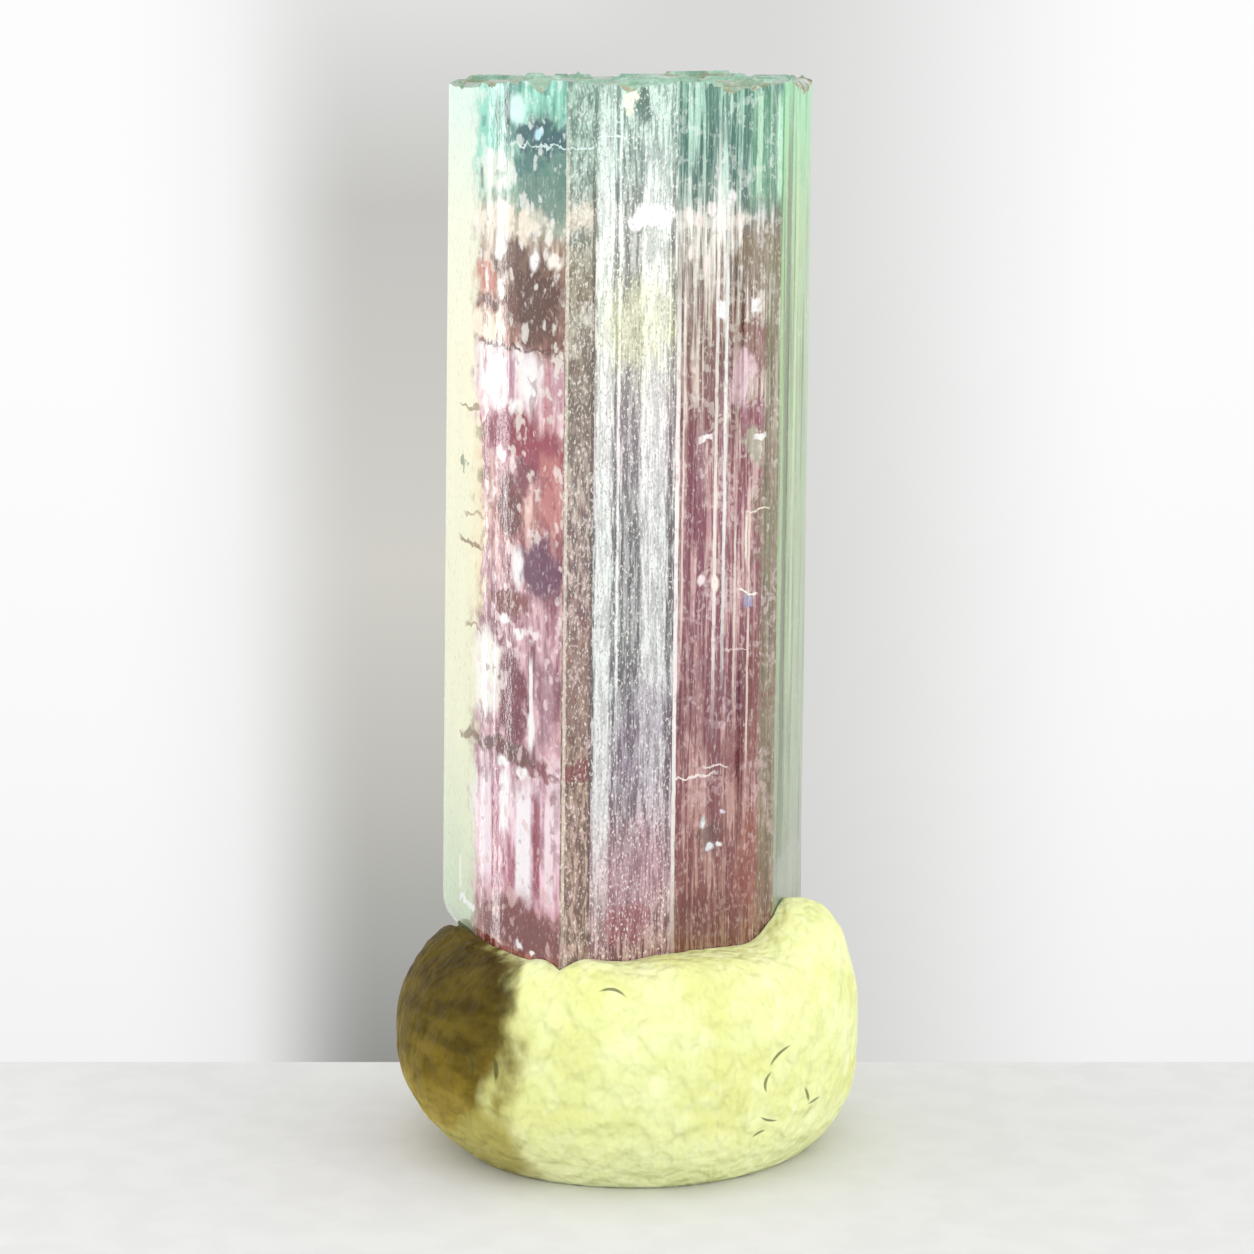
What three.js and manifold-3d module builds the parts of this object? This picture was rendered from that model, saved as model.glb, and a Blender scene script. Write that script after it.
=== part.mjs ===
// Bicolor tourmaline crystal standing in a pressed lump of pale yellow putty.
//
// Millimetres, +Z up. The origin is under the middle of the putty, on the surface it stands on.
// The crystal is one piece: a three-sided prism with bulging faces, long grooves and ribs, a flat
// broken top with low ledges, and chips along its rims. The putty is one piece pressed round its foot.
import * as THREE from "three";
import { mergeVertices } from "three/addons/utils/BufferGeometryUtils.js";
import Module from "manifold-3d";

const wasm = await Module();
wasm.setup();

// Driving dimensions
const TOTAL_HEIGHT = 32.7;
const PUTTY_WIDTH = 14.4;
const PUTTY_DEPTH = 13.6;
const PUTTY_WAIST_Z = 3.5; // height at which the lump is widest
const PUTTY_CROWN = 4.7; // how far the rolled lump reached above its waist, before it was pressed
const PUTTY_UNDERCUT = 5.0; // how far it would reach below its waist without the table
const PUTTY_PRESSED_Z = 6.8; // height to which the crystal squeezed its top
const PUTTY_LEFT_SQUARENESS = 2.2; // 2 is an ellipsoid, more is boxier
const PUTTY_RIGHT_SQUARENESS = 3.0;
const CRYSTAL_FOOT_Z = 6.2; // middle of the crystal's lower end, which slants
const FOOT_SLANT = 0.07; // fall of the lower end to the right, mm for each mm
const CRYSTAL_CLEARANCE = 0.05; // gap between the crystal and its socket
const LEAN = 0.0108; // sideways lean to the right, mm for each mm of height
const TAPER = 0.00095; // share that the section loses for each mm of height
const TRUE_SECTION_Z = 19; // height at which the section is exactly as drawn
const TOP_RELIEF = 0.2; // height of the ledges on the broken top

const CRYSTAL_TOP_Z = TOTAL_HEIGHT - TOP_RELIEF;

// The section's corners and the face that starts at each, counter-clockwise seen from above, with -Y
// in front. bulge is how far the face bows out, ribs its count of lengthwise ribs, groove their depth.
const FACES = [
  { name: "front", x: -1.85, y: -5.25, bulge: 0.02, ribs: 2, groove: 0.03 },
  { name: "sheen", x: -0.98, y: -4.78, bulge: 0.06, ribs: 5, groove: 0.05 },
  { name: "stripe", x: 1.4, y: -3.45, bulge: 0.1, ribs: 10, groove: 0.1 },
  { name: "right", x: 4.5, y: -1.75, bulge: 0.18, ribs: 6, groove: 0.07 },
  { name: "right_heel", x: 5.6, y: 3.8, bulge: 0.08, ribs: 3, groove: 0.06 },
  { name: "back", x: 4.7, y: 5.3, bulge: 0.35, ribs: 12, groove: 0.1 },
  { name: "left_heel", x: -4.3, y: 5.0, bulge: 0.15, ribs: 4, groove: 0.06 },
  { name: "window", x: -5.6, y: 2.0, bulge: 0.25, ribs: 4, groove: 0.02 },
];

// Where the section is drawn in, from the foot to the top: the rims are rounded by handling and wear.
const LEVELS = [
  { share: 0, inset: 0.3 },
  { share: 0.005, inset: 0.1 },
  { share: 0.012, inset: 0 },
  { share: 0.2, inset: 0.02 },
  { share: 0.38, inset: -0.02 },
  { share: 0.56, inset: 0.015 },
  { share: 0.76, inset: -0.015 },
  { share: 0.988, inset: 0 },
  { share: 0.996, inset: 0.08 },
  { share: 1, inset: 0.26 },
];

// Ribs that stand proud of a face over part of the height: along is the place across the face, 0 to 1.
const LATHS = [
  { face: "sheen", along: 0.16, width: 0.42, from: 7.9, to: 32.0, proud: 0.07 },
  { face: "sheen", along: 0.8, width: 0.6, from: 7.9, to: 26.4, proud: 0.06 },
  { face: "stripe", along: 0.03, width: 0.16, from: 7.6, to: 30.6, proud: 0.14 },
  { face: "stripe", along: 0.42, width: 0.24, from: 12.2, to: 32.1, proud: 0.12 },
  { face: "stripe", along: 0.66, width: 0.3, from: 9.4, to: 21.0, proud: 0.1 },
  { face: "stripe", along: 0.83, width: 0.18, from: 18.5, to: 32.2, proud: 0.12 },
  { face: "right", along: 0.22, width: 0.7, from: 9.0, to: 31.9, proud: 0.08 },
  { face: "right", along: 0.62, width: 1.1, from: 10.5, to: 27.5, proud: 0.07 },
  { face: "back", along: 0.14, width: 0.7, from: 8.4, to: 30.5, proud: 0.1 },
  { face: "back", along: 0.36, width: 0.4, from: 14.0, to: 32.1, proud: 0.12 },
  { face: "back", along: 0.58, width: 0.9, from: 8.6, to: 24.8, proud: 0.09 },
  { face: "back", along: 0.82, width: 0.5, from: 11.0, to: 31.4, proud: 0.11 },
  { face: "left_heel", along: 0.5, width: 0.8, from: 9.0, to: 29.0, proud: 0.08 },
];

// Low plates left standing on the broken top, as rough polygons about their centres.
const LEDGES = [
  { x: -3.9, y: 1.6, across: 2.1, deep: 2.6, rise: 0.2, turn: 0.3 },
  { x: -1.0, y: -1.4, across: 2.4, deep: 2.2, rise: 0.17, turn: 1.1 },
  { x: 1.6, y: 1.8, across: 2.3, deep: 3.0, rise: 0.2, turn: 2.0 },
  { x: 3.5, y: 1.2, across: 1.7, deep: 3.4, rise: 0.13, turn: 0.7 },
  { x: -0.6, y: 3.6, across: 2.6, deep: 1.7, rise: 0.15, turn: 1.7 },
];

// Shell-shaped chips out of the rims: centre, half sizes, and a turn about the upright axis.
const CHIPS = [
  { x: -2.75, y: -4.35, z: 32.62, size: [1.25, 0.9, 0.42], turn: -1.0 },
  { x: 0.15, y: -4.85, z: 32.2, size: [0.62, 0.5, 0.85], turn: 0.5 },
  { x: -5.3, y: 1.2, z: 32.75, size: [0.7, 1.5, 0.3], turn: -0.25 },
  { x: 2.9, y: -3.0, z: 32.7, size: [1.1, 0.6, 0.25], turn: 0.5 },
  { x: 4.9, y: 4.6, z: 32.4, size: [1.2, 1.0, 0.5], turn: 0.4 },
  { x: -2.2, y: 5.7, z: 32.5, size: [1.6, 0.8, 0.45], turn: 0.0 },
  { x: 5.75, y: 0.6, z: 9.0, size: [0.26, 1.3, 0.9], turn: 0.1 },
];

// Swellings and finger dents of the putty: centre in plan, reach, and how far they lift the surface.
const LUMPS = [
  { x: 5.5, y: -1.2, reach: 1.6, lift: 1.1 },
  { x: 5.2, y: 4.2, reach: 2.0, lift: 0.45 },
  { x: -0.5, y: 6.4, reach: 2.3, lift: 0.55 },
  { x: -6.0, y: -2.4, reach: 2.0, lift: -0.25 },
  { x: -1.9, y: -5.6, reach: 1.7, lift: 0.2 },
  { x: 2.4, y: -5.6, reach: 1.9, lift: 0.12 },
];
const PUTTY_WAVE = 0.07; // height of the broad waves that rolling the lump left

// A repeatable stand-in for chance, so that every build gives the same crystal.
function chance(seed) {
  let state = seed;
  return () => {
    state = (state * 1664525 + 1013904223) % 4294967296;
    return state / 4294967296;
  };
}

// One closed three.js geometry as a solid that can be joined and cut.
function toSolid(geometry) {
  const bare = geometry.index ? geometry.toNonIndexed() : geometry.clone();
  bare.deleteAttribute("normal");
  bare.deleteAttribute("uv");
  const merged = mergeVertices(bare, 1e-4);
  return new wasm.Manifold(
    new wasm.Mesh({
      numProp: 3,
      vertProperties: merged.attributes.position.array,
      triVerts: new Uint32Array(merged.index.array),
    }),
  );
}

// The solid back as a three.js geometry with flat-shaded faces.
function toGeometry(solid) {
  const mesh = solid.getMesh();
  const geometry = new THREE.BufferGeometry()
    .setAttribute("position", new THREE.BufferAttribute(mesh.vertProperties, 3))
    .setIndex(new THREE.BufferAttribute(mesh.triVerts, 1))
    .toNonIndexed();
  geometry.computeVertexNormals();
  return geometry;
}

// Moves every vertex of a geometry by a function of its place.
function reshape(geometry, move) {
  const place = geometry.attributes.position;
  const point = new THREE.Vector3();
  for (let i = 0; i < place.count; i++) {
    move(point.fromBufferAttribute(place, i));
    place.setXYZ(i, point.x, point.y, point.z);
  }
  return geometry;
}

// A point across a face, from its first corner at 0 to the next face's corner at 1, moved outwards.
function onFace(index, along, outwards) {
  const start = FACES[index];
  const end = FACES[(index + 1) % FACES.length];
  const run = new THREE.Vector2(end.x - start.x, end.y - start.y);
  const normal = new THREE.Vector2(run.y, -run.x).normalize();
  const bow = start.bulge * 4 * along * (1 - along) + outwards;
  return new THREE.Vector2(start.x, start.y)
    .addScaledVector(run, along)
    .addScaledVector(normal, bow);
}

// The section: each face is cut into ribs of uneven width with a narrow groove between them.
function sectionShape(grow) {
  const random = chance(7);
  const outline = [];
  FACES.forEach((face, index) => {
    const widths = Array.from({ length: face.ribs }, () => 0.45 + random());
    const total = widths.reduce((sum, width) => sum + width, 0);
    let along = 0;
    for (const width of widths) {
      const share = width / total;
      const tilt = face.groove * (random() - 0.5);
      outline.push(onFace(index, along + 0.1 * share, grow - face.groove * 0.5 + tilt));
      outline.push(onFace(index, along + 0.62 * share, grow + face.groove * 0.5));
      along += share;
    }
  });
  return new THREE.Shape(outline);
}

// The prism, with rounded rims and a section that swells and narrows a little on its way up.
function prism(grow) {
  const steps = LEVELS.length - 1;
  const body = new THREE.ExtrudeGeometry(sectionShape(grow), {
    depth: 1,
    steps,
    bevelEnabled: false,
  });
  return toSolid(
    reshape(body, (point) => {
      const level = LEVELS[Math.round(point.z * steps)];
      const reach = Math.hypot(point.x, point.y);
      const scale = 1 - level.inset / reach;
      const foot = CRYSTAL_FOOT_Z - FOOT_SLANT * point.x - grow;
      const top = CRYSTAL_TOP_Z + grow;
      point.set(
        point.x * scale,
        point.y * scale,
        THREE.MathUtils.lerp(foot, top, level.share),
      );
    }),
  );
}

// A rib with sloping sides and slanting ends, fused to its face.
function lath({ face, along, width, from, to, proud }) {
  const index = FACES.findIndex(({ name }) => name === face);
  const foot = onFace(index, along, 0);
  const ahead = onFace(index, Math.min(along + 0.02, 1), 0);
  const root = 0.3; // how deep the rib is rooted in the crystal
  const rib = new THREE.BoxGeometry(width, root + proud, to - from);
  reshape(rib, (point) => {
    if (point.y > 0) return;
    point.x *= 0.7;
    point.z *= 1 - (1.5 * proud) / (to - from);
  });
  rib.translate(0, (root - proud) / 2, (from + to) / 2);
  rib.rotateZ(Math.atan2(ahead.y - foot.y, ahead.x - foot.x));
  rib.translate(foot.x, foot.y, 0);
  return toSolid(rib);
}

// A low plate of rough outline on the broken top.
function ledge({ x, y, across, deep, rise, turn }, index) {
  const random = chance(100 + index);
  const sides = 7;
  const outline = Array.from({ length: sides }, (_, side) => {
    const angle = (side / sides) * 2 * Math.PI;
    const reach = 0.36 + 0.16 * random();
    return new THREE.Vector2(across * reach * Math.cos(angle), deep * reach * Math.sin(angle));
  });
  const root = 0.4; // how deep the plate is rooted in the crystal
  const plate = new THREE.ExtrudeGeometry(new THREE.Shape(outline), {
    depth: root + rise,
    bevelEnabled: false,
  });
  plate.translate(0, 0, -root);
  reshape(plate, (point) => {
    if (point.z > 0) point.z -= rise * 0.35 * (0.5 + point.x / across);
  });
  plate.rotateZ(turn);
  plate.translate(x, y, CRYSTAL_TOP_Z);
  return toSolid(plate);
}

// A faceted scoop, as a shell-shaped fracture leaves.
function scoop({ x, y, z, size, turn }) {
  const shell = new THREE.IcosahedronGeometry(1, 1);
  shell.scale(...size);
  shell.rotateZ(turn);
  shell.translate(x, y, z);
  return toSolid(shell);
}

// The whole crystal, or with grow above 0 the slightly larger form that its socket takes.
function crystalSolid(grow) {
  let solid = prism(grow);
  for (const rib of LATHS) solid = solid.add(lath(rib));
  LEDGES.forEach((plate, index) => {
    solid = solid.add(ledge(plate, index));
  });
  for (const chip of CHIPS) solid = solid.subtract(scoop(chip));
  return lean(solid);
}

// Leans the crystal and narrows it towards its top.
function lean(solid) {
  return toSolid(
    reshape(toGeometry(solid), (point) => {
      const above = point.z - TRUE_SECTION_Z;
      const scale = 1 - TAPER * above;
      point.x = point.x * scale + LEAN * above;
      point.y *= scale;
    }),
  );
}

// The rolled lump's surface, in the direction of a point on a ball about the middle of its waist.
function rollPutty(point) {
  const height = point.z > 0 ? PUTTY_CROWN : PUTTY_UNDERCUT;
  const flat = Math.hypot(point.x / (PUTTY_WIDTH / 2), point.y / (PUTTY_DEPTH / 2));
  const tall = Math.abs(point.z) / height;
  const round = Math.atan2(point.y, point.x);
  const square = THREE.MathUtils.lerp(
    PUTTY_LEFT_SQUARENESS,
    PUTTY_RIGHT_SQUARENESS,
    0.5 + 0.5 * Math.cos(round),
  );
  const wave = Math.sin(3 * round + 1.1) + 0.6 * Math.sin(5 * round + 2.4 + 2 * point.z);
  point.multiplyScalar((flat ** square + tall ** square) ** (-1 / square));
  point.x *= 1 + (PUTTY_WAVE / PUTTY_WIDTH) * 2 * wave;
  point.y *= 1 + (PUTTY_WAVE / PUTTY_WIDTH) * 2 * wave;
}

// The lump's top squeezed down by the crystal, with what it pushed up beside it, and its foot flat.
function pressPutty(point) {
  const softness = 0.5; // width of the round edge where the pressed top begins
  const give = 0.88; // how much of the height above the pressed top is lost
  const upper = THREE.MathUtils.smoothstep(point.z, 0.2, 1.6);
  point.z += PUTTY_WAIST_Z;
  const over = point.z - PUTTY_PRESSED_Z;
  point.z -= (give * (over + Math.hypot(over, softness))) / 2;
  for (const { x, y, reach, lift } of LUMPS) {
    const away = Math.hypot(point.x - x, point.y - y) / reach;
    point.z += lift * upper * Math.exp(-(away ** 4));
  }
  point.z = Math.max(0, point.z);
}

// Scales and centres a geometry in plan to an exact width and depth.
function fitPlan(geometry, width, depth) {
  geometry.computeBoundingBox();
  const { min, max } = geometry.boundingBox;
  geometry.translate(-(min.x + max.x) / 2, -(min.y + max.y) / 2, 0);
  geometry.scale(width / (max.x - min.x), depth / (max.y - min.y), 1);
  return geometry;
}

// The lump of putty, flat where it stands and with the crystal's socket pressed into it.
function puttySolid() {
  const ball = new THREE.SphereGeometry(1, 56, 30);
  ball.rotateX(Math.PI / 2);
  const lump = fitPlan(reshape(ball, rollPutty), PUTTY_WIDTH, PUTTY_DEPTH);
  return toSolid(reshape(lump, pressPutty)).subtract(crystalSolid(CRYSTAL_CLEARANCE));
}

// The crystal: green at its top, pink below, and see-through.
function crystal() {
  const material = new THREE.MeshStandardMaterial({
    color: 0xc98fa0,
    roughness: 0.15,
    metalness: 0,
    transparent: true,
    opacity: 0.8,
  });
  const mesh = new THREE.Mesh(toGeometry(crystalSolid(0)), material);
  mesh.name = "crystal";
  return mesh;
}

// The putty: pale yellow and slightly waxy.
function putty() {
  const material = new THREE.MeshStandardMaterial({
    color: 0xe6eba6,
    roughness: 0.6,
    metalness: 0,
  });
  const mesh = new THREE.Mesh(toGeometry(puttySolid()), material);
  mesh.name = "putty_base";
  return mesh;
}

const specimen = new THREE.Group();
specimen.add(crystal(), putty());

export default specimen;
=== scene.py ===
"""Bicolor tourmaline crystal standing in a pressed lump of putty: its finish, light and camera.

Sizes in the classes are millimetres, in the frame of the CAD part, and become metres when a mesh is
made. The photograph's camera looks along +Y, so -Y is the front and +X is on its right.
"""

import logging
import math
import random
from dataclasses import dataclass, field
from enum import Enum
from typing import Any

import bmesh
import bpy
from mathutils import Matrix, Vector, noise


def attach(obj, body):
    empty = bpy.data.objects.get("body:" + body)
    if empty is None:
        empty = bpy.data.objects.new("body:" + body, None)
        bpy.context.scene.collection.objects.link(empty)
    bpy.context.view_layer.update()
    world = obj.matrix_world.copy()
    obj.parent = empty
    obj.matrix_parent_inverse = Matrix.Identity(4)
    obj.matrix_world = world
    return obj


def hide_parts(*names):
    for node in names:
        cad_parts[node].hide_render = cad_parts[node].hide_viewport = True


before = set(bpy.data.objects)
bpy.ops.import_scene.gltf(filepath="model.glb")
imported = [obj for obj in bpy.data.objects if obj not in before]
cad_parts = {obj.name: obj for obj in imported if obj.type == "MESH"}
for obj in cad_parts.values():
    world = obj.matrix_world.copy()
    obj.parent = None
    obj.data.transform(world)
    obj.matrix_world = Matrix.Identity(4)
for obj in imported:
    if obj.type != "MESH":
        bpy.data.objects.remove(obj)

log = logging.getLogger("tourmaline")

MM = 0.001
BODY = "root"

Socket = bpy.types.NodeSocket
Stops = tuple[tuple[float, str], ...]
Pair = tuple[float, float]
Triple = tuple[float, float, float]
Colour = tuple[float, float, float, float]


def linear(colour: str) -> Colour:
    """Turn an sRGB hex colour into the linear values that a shader socket takes.

    Args:
        colour: Six hex digits, such as "E6EBA6".

    Returns:
        Red, green, blue and an alpha of 1.
    """
    parts = [int(colour[i : i + 2], 16) / 255 for i in (0, 2, 4)]
    red, green, blue = (c / 12.92 if c <= 0.04045 else ((c + 0.055) / 1.055) ** 2.4 for c in parts)
    return red, green, blue, 1.0


def share_between(value: float, low: float, high: float) -> float:
    """Give how far a value has come from low to high, from 0 to 1."""
    return min(1.0, max(0.0, (value - low) / (high - low)))


def eased(share: float) -> float:
    """Start and end a share that runs from 0 to 1 gently."""
    return share * share * (3 - 2 * share)


def rounded_off(inside: float, radius: float) -> float:
    """Give how far a rounded edge falls back at a place this far inside the sharp one."""
    short = 1 - share_between(inside, 0.0, radius)
    return radius * (1 - math.sqrt(1 - short * short))


def bumps(x: float, y: float, per_mm: float, layer: float) -> float:
    """Give the height of a smooth random surface at a place, with its bumps to the millimetre."""
    return noise.noise(Vector((x * per_mm, y * per_mm, layer)))


class Painter:
    """Draws patterns for one material, in millimetres of Object coordinates."""

    def __init__(self, name: str) -> None:
        """Start an empty material.

        Args:
            name: The material's name.
        """
        self.material = bpy.data.materials.new(name)
        self.material.use_nodes = True
        self.tree = self.material.node_tree
        self.tree.nodes.clear()
        place = self.add("TexCoord", out="Object")
        self.place = self.add("Mapping", {"Vector": place, "Scale": (1 / MM, 1 / MM, 1 / MM)})
        self.x, self.y, self.z = self.add("SeparateXYZ", {0: self.place}).node.outputs

    def add(self, kind: str, inputs: dict | None = None, out: int | str = 0, **settings: Any) -> Socket:
        """Add one node with its settings, its values and its links.

        Args:
            kind: The node's type name without its ShaderNode prefix.
            inputs: Input name or number to a value, a hex colour, or the socket that feeds it.
            out: The output that is wanted.
            settings: The node's own properties.

        Returns:
            The wanted output socket.
        """
        node = self.tree.nodes.new(f"ShaderNode{kind}")
        for name, value in settings.items():
            setattr(node, name, value)
        for key, value in (inputs or {}).items():
            if isinstance(value, Socket):
                self.tree.links.new(value, node.inputs[key])
            else:
                node.inputs[key].default_value = linear(value) if isinstance(value, str) else value
        return node.outputs[out] if node.outputs else None

    def grain(self, size: Triple, detail: float = 2.0, shift: float = 0.0) -> Socket:
        """Make an uneven pattern whose spots have a given size.

        Args:
            size: Width, depth and height of a spot in millimetres.
            detail: How many finer layers it holds.
            shift: A distance that moves the pattern, so that two of one size differ.

        Returns:
            A value that spreads round 0.5.
        """
        scale = tuple(1 / s for s in size)
        start = (shift, shift * 0.7, shift * 1.3)
        moved = self.add("Mapping", {"Vector": self.place, "Scale": scale, "Location": start})
        return self.add("TexNoise", {"Vector": moved, "Scale": 1.0, "Detail": detail})

    def coat(
        self, under: Any, over: Any, value: Any, low: float, high: float, strength: float = 1.0
    ) -> Socket:
        """Lay one colour over another where a value has passed a step.

        Args:
            under: The colour below, a socket or hex digits.
            over: The colour of the coat.
            value: What the step is measured on.
            low: Where the coat begins; above high, the coat covers what lies under the step.
            high: Where it is full.
            strength: How much of it there is where it is full.

        Returns:
            The coated colour.
        """
        step = {"Value": value, "From Min": low, "From Max": high, "To Max": strength}
        share = self.add("MapRange", step, interpolation_type="SMOOTHSTEP")
        return self.add("Mix", {0: share, 6: under, 7: over}, out=2, data_type="RGBA")

    def by_height(self, stops: Stops, height: Socket) -> Socket:
        """Colour by a height.

        Args:
            stops: Heights in millimetres, rising, with their colours.
            height: The height that the colours follow.

        Returns:
            The colour.
        """
        low, high = stops[0][0], stops[-1][0]
        share = self.add("MapRange", {"Value": height, "From Min": low, "From Max": high})
        colour = self.add("ValToRGB", {0: share})
        elements = colour.node.color_ramp.elements
        while len(elements) < len(stops):
            elements.new(1.0)
        for element, (at, tone) in zip(elements, stops):
            element.position = (at - low) / (high - low)
            element.color = linear(tone)
        return colour

    def finish(self, surface: dict, volume: tuple[str, float] | None = None) -> bpy.types.Material:
        """Close the material with its shaders.

        Args:
            surface: The inputs of its Principled shader.
            volume: The colour and density of what absorbs light inside, or None.

        Returns:
            The finished material.
        """
        ends = {"Surface": self.add("BsdfPrincipled", surface)}
        if volume:
            colour, density = volume
            ends["Volume"] = self.add("VolumeAbsorption", {"Color": colour, "Density": density})
        self.add("OutputMaterial", ends)
        return self.material


def make_piece(
    name: str, mesh: bpy.types.Mesh, slot: str, *materials: bpy.types.Material
) -> bpy.types.Object:
    """Put a mesh into the scene as a piece that rides on the part.

    Args:
        name: The piece's name.
        mesh: Its mesh, in metres, where it belongs.
        slot: Not used.
        materials: Its materials in the order of its material slots.

    Returns:
        The new object.
    """
    for material in materials:
        mesh.materials.append(material)
    piece = bpy.data.objects.new(name, mesh)
    bpy.context.scene.collection.objects.link(piece)
    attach(piece, BODY)
    log.info("%s: %d faces", name, len(mesh.polygons))
    return piece


def to_mesh(bm: bmesh.types.BMesh, name: str) -> bpy.types.Mesh:
    """Turn a bmesh in millimetres into a mesh in metres and free it.

    Args:
        bm: The shape.
        name: The mesh's name.

    Returns:
        The mesh.
    """
    bmesh.ops.scale(bm, vec=(MM, MM, MM), verts=bm.verts)
    mesh = bpy.data.meshes.new(name)
    bm.to_mesh(mesh)
    bm.free()
    return mesh


def smooth(mesh: bpy.types.Mesh, crease_deg: float) -> None:
    """Shade a mesh smooth, but for the edges that are sharper than an angle."""
    mesh.shade_smooth()
    mesh.set_sharp_from_angle(angle=math.radians(crease_deg))


def upper_verts(bm: bmesh.types.BMesh, faces: list[bmesh.types.BMFace]) -> list[bmesh.types.BMVert]:
    """Extrude faces and give the vertices that the extrusion made."""
    made = bmesh.ops.extrude_face_region(bm, geom=faces)["geom"]
    return [g for g in made if isinstance(g, bmesh.types.BMVert)]


def cut(mesh: bpy.types.Mesh, tool: bpy.types.Mesh) -> bpy.types.Mesh:
    """Take one closed mesh out of another and keep the faces' material numbers.

    Args:
        mesh: What is cut.
        tool: What is taken away.

    Returns:
        The cut mesh.
    """
    kept = bpy.data.objects.new("kept", mesh)
    taken = bpy.data.objects.new("taken", tool)
    for thing in (kept, taken):
        bpy.context.scene.collection.objects.link(thing)
    boolean = kept.modifiers.new("cut", "BOOLEAN")
    boolean.operation = "DIFFERENCE"
    boolean.object = taken
    boolean.solver = "EXACT"
    seen = kept.evaluated_get(bpy.context.evaluated_depsgraph_get())
    result = bpy.data.meshes.new_from_object(seen)
    for thing in (kept, taken):
        bpy.data.objects.remove(thing)
    return result


class Polish(Enum):
    """How the surface of a crystal face looks."""

    WINDOW = 0
    SPECKLED = 1
    SILVER = 2
    STRIPED = 3
    GREEN_RIND = 4
    GROOVED = 5
    BROKEN = 6


@dataclass(frozen=True)
class CrystalFace:
    """One long face of the prism, from its first corner to the next face's."""

    corner: Pair
    bulge: float  # how far its middle stands out
    rib: float  # mean width of its lengthwise ribs
    relief: float  # how far the ribs stand out
    polish: Polish


@dataclass(frozen=True)
class OutlinePoint:
    """A point of the section, with the way that points out of the face."""

    at: Vector
    outwards: Vector
    face: CrystalFace
    rank: int


@dataclass
class CrystalSection:
    """The prism's rounded three-sided section, at the height where it is exact."""

    true_z: float = 19.0
    lean: float = 0.0108  # to the right, for each millimetre up
    taper: float = 0.00095  # share of its width that it loses with each millimetre up
    rib_spread: Pair = (0.35, 1.65)  # narrowest and widest rib, as shares of the mean
    faces: list[CrystalFace] = field(
        default_factory=lambda: [
            CrystalFace((-1.85, -5.25), 0.02, 0.16, 0.03, Polish.SPECKLED),
            CrystalFace((-0.98, -4.78), 0.06, 0.13, 0.018, Polish.SILVER),
            CrystalFace((1.4, -3.45), 0.1, 0.1, 0.08, Polish.STRIPED),
            CrystalFace((4.5, -1.75), 0.18, 0.24, 0.03, Polish.GREEN_RIND),
            CrystalFace((5.6, 3.8), 0.08, 0.2, 0.05, Polish.GROOVED),
            CrystalFace((4.7, 5.3), 0.35, 0.22, 0.09, Polish.GROOVED),
            CrystalFace((-4.3, 5.0), 0.15, 0.25, 0.05, Polish.GROOVED),
            CrystalFace((-5.6, 2.0), 0.25, 0.34, 0.014, Polish.WINDOW),
        ]
    )

    def point(self, index: int, along: float) -> tuple[Vector, Vector]:
        """Find a place on a face.

        Args:
            index: The face's number.
            along: How far across it, from 0 to 1.

        Returns:
            The place and the outward direction there.
        """
        start = Vector(self.faces[index].corner)
        run = Vector(self.faces[(index + 1) % len(self.faces)].corner) - start
        outwards = Vector((run.y, -run.x)).normalized()
        bow = self.faces[index].bulge * 4 * along * (1 - along)
        return start + run * along + outwards * bow, outwards

    def outline(self, seed: int) -> list[OutlinePoint]:
        """Cut every face into ribs of uneven width.

        Args:
            seed: What makes the widths the same in each run.

        Returns:
            The outline, counter-clockwise seen from above.
        """
        chance = random.Random(seed)
        points = []
        for index, face in enumerate(self.faces):
            start = Vector(face.corner)
            length = (Vector(self.faces[(index + 1) % len(self.faces)].corner) - start).length
            count = max(3, round(length / face.rib))
            widths = [chance.uniform(*self.rib_spread) for _ in range(count)]
            walked = 0.0
            for rank, width in enumerate(widths):
                at, outwards = self.point(index, walked / sum(widths))
                points.append(OutlinePoint(at, outwards, face, rank))
                walked += width
        return points

    def lift(self, flat: Vector, z: float) -> Vector:
        """Move a place of the true section to a height, with the crystal's lean and taper.

        Args:
            flat: The place in the true section.
            z: The height.

        Returns:
            The place in the crystal.
        """
        above = z - self.true_z
        scale = 1 - self.taper * above
        return Vector((flat.x * scale + self.lean * above, flat.y * scale, z))

    def unlift(self, place: Vector) -> Vector:
        """Bring a place in the crystal back to the true section, the other way round from lift.

        Args:
            place: The place in the crystal.

        Returns:
            The place in the true section.
        """
        above = place.z - self.true_z
        scale = 1 - self.taper * above
        return Vector(((place.x - self.lean * above) / scale, place.y / scale))

    def rim_distance(self, x: float, y: float) -> float:
        """Measure how far inside its nearest face a place is, negative outside."""
        middles = [self.point(index, 0.5) for index in range(len(self.faces))]
        return min((middle - Vector((x, y))).dot(outwards) for middle, outwards in middles)


class Form(Enum):
    """How a mark ends: where its edge starts and where it is full, as shares of its half size."""

    CLOUD = (1.25, 0.7)  # ragged and round
    GLOW = (1.15, 0.5)  # smooth and round, for painted spots of light
    FLAKE = (1.15, 0.7)  # square and crisp


@dataclass(frozen=True)
class Mark:
    """One marking of a face, placed as it is seen from the front."""

    x: float
    z: float
    half_width: float
    half_height: float
    colour: str
    strength: float = 1.0
    form: Form = Form.CLOUD


def glow(x: float, z: float, half_width: float, half_height: float, colour: str = "FFFFFF") -> Mark:
    """Describe a painted soft spot of light that comes through the crystal."""
    return Mark(x, z, half_width, half_height, colour, 1.0, Form.GLOW)


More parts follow.
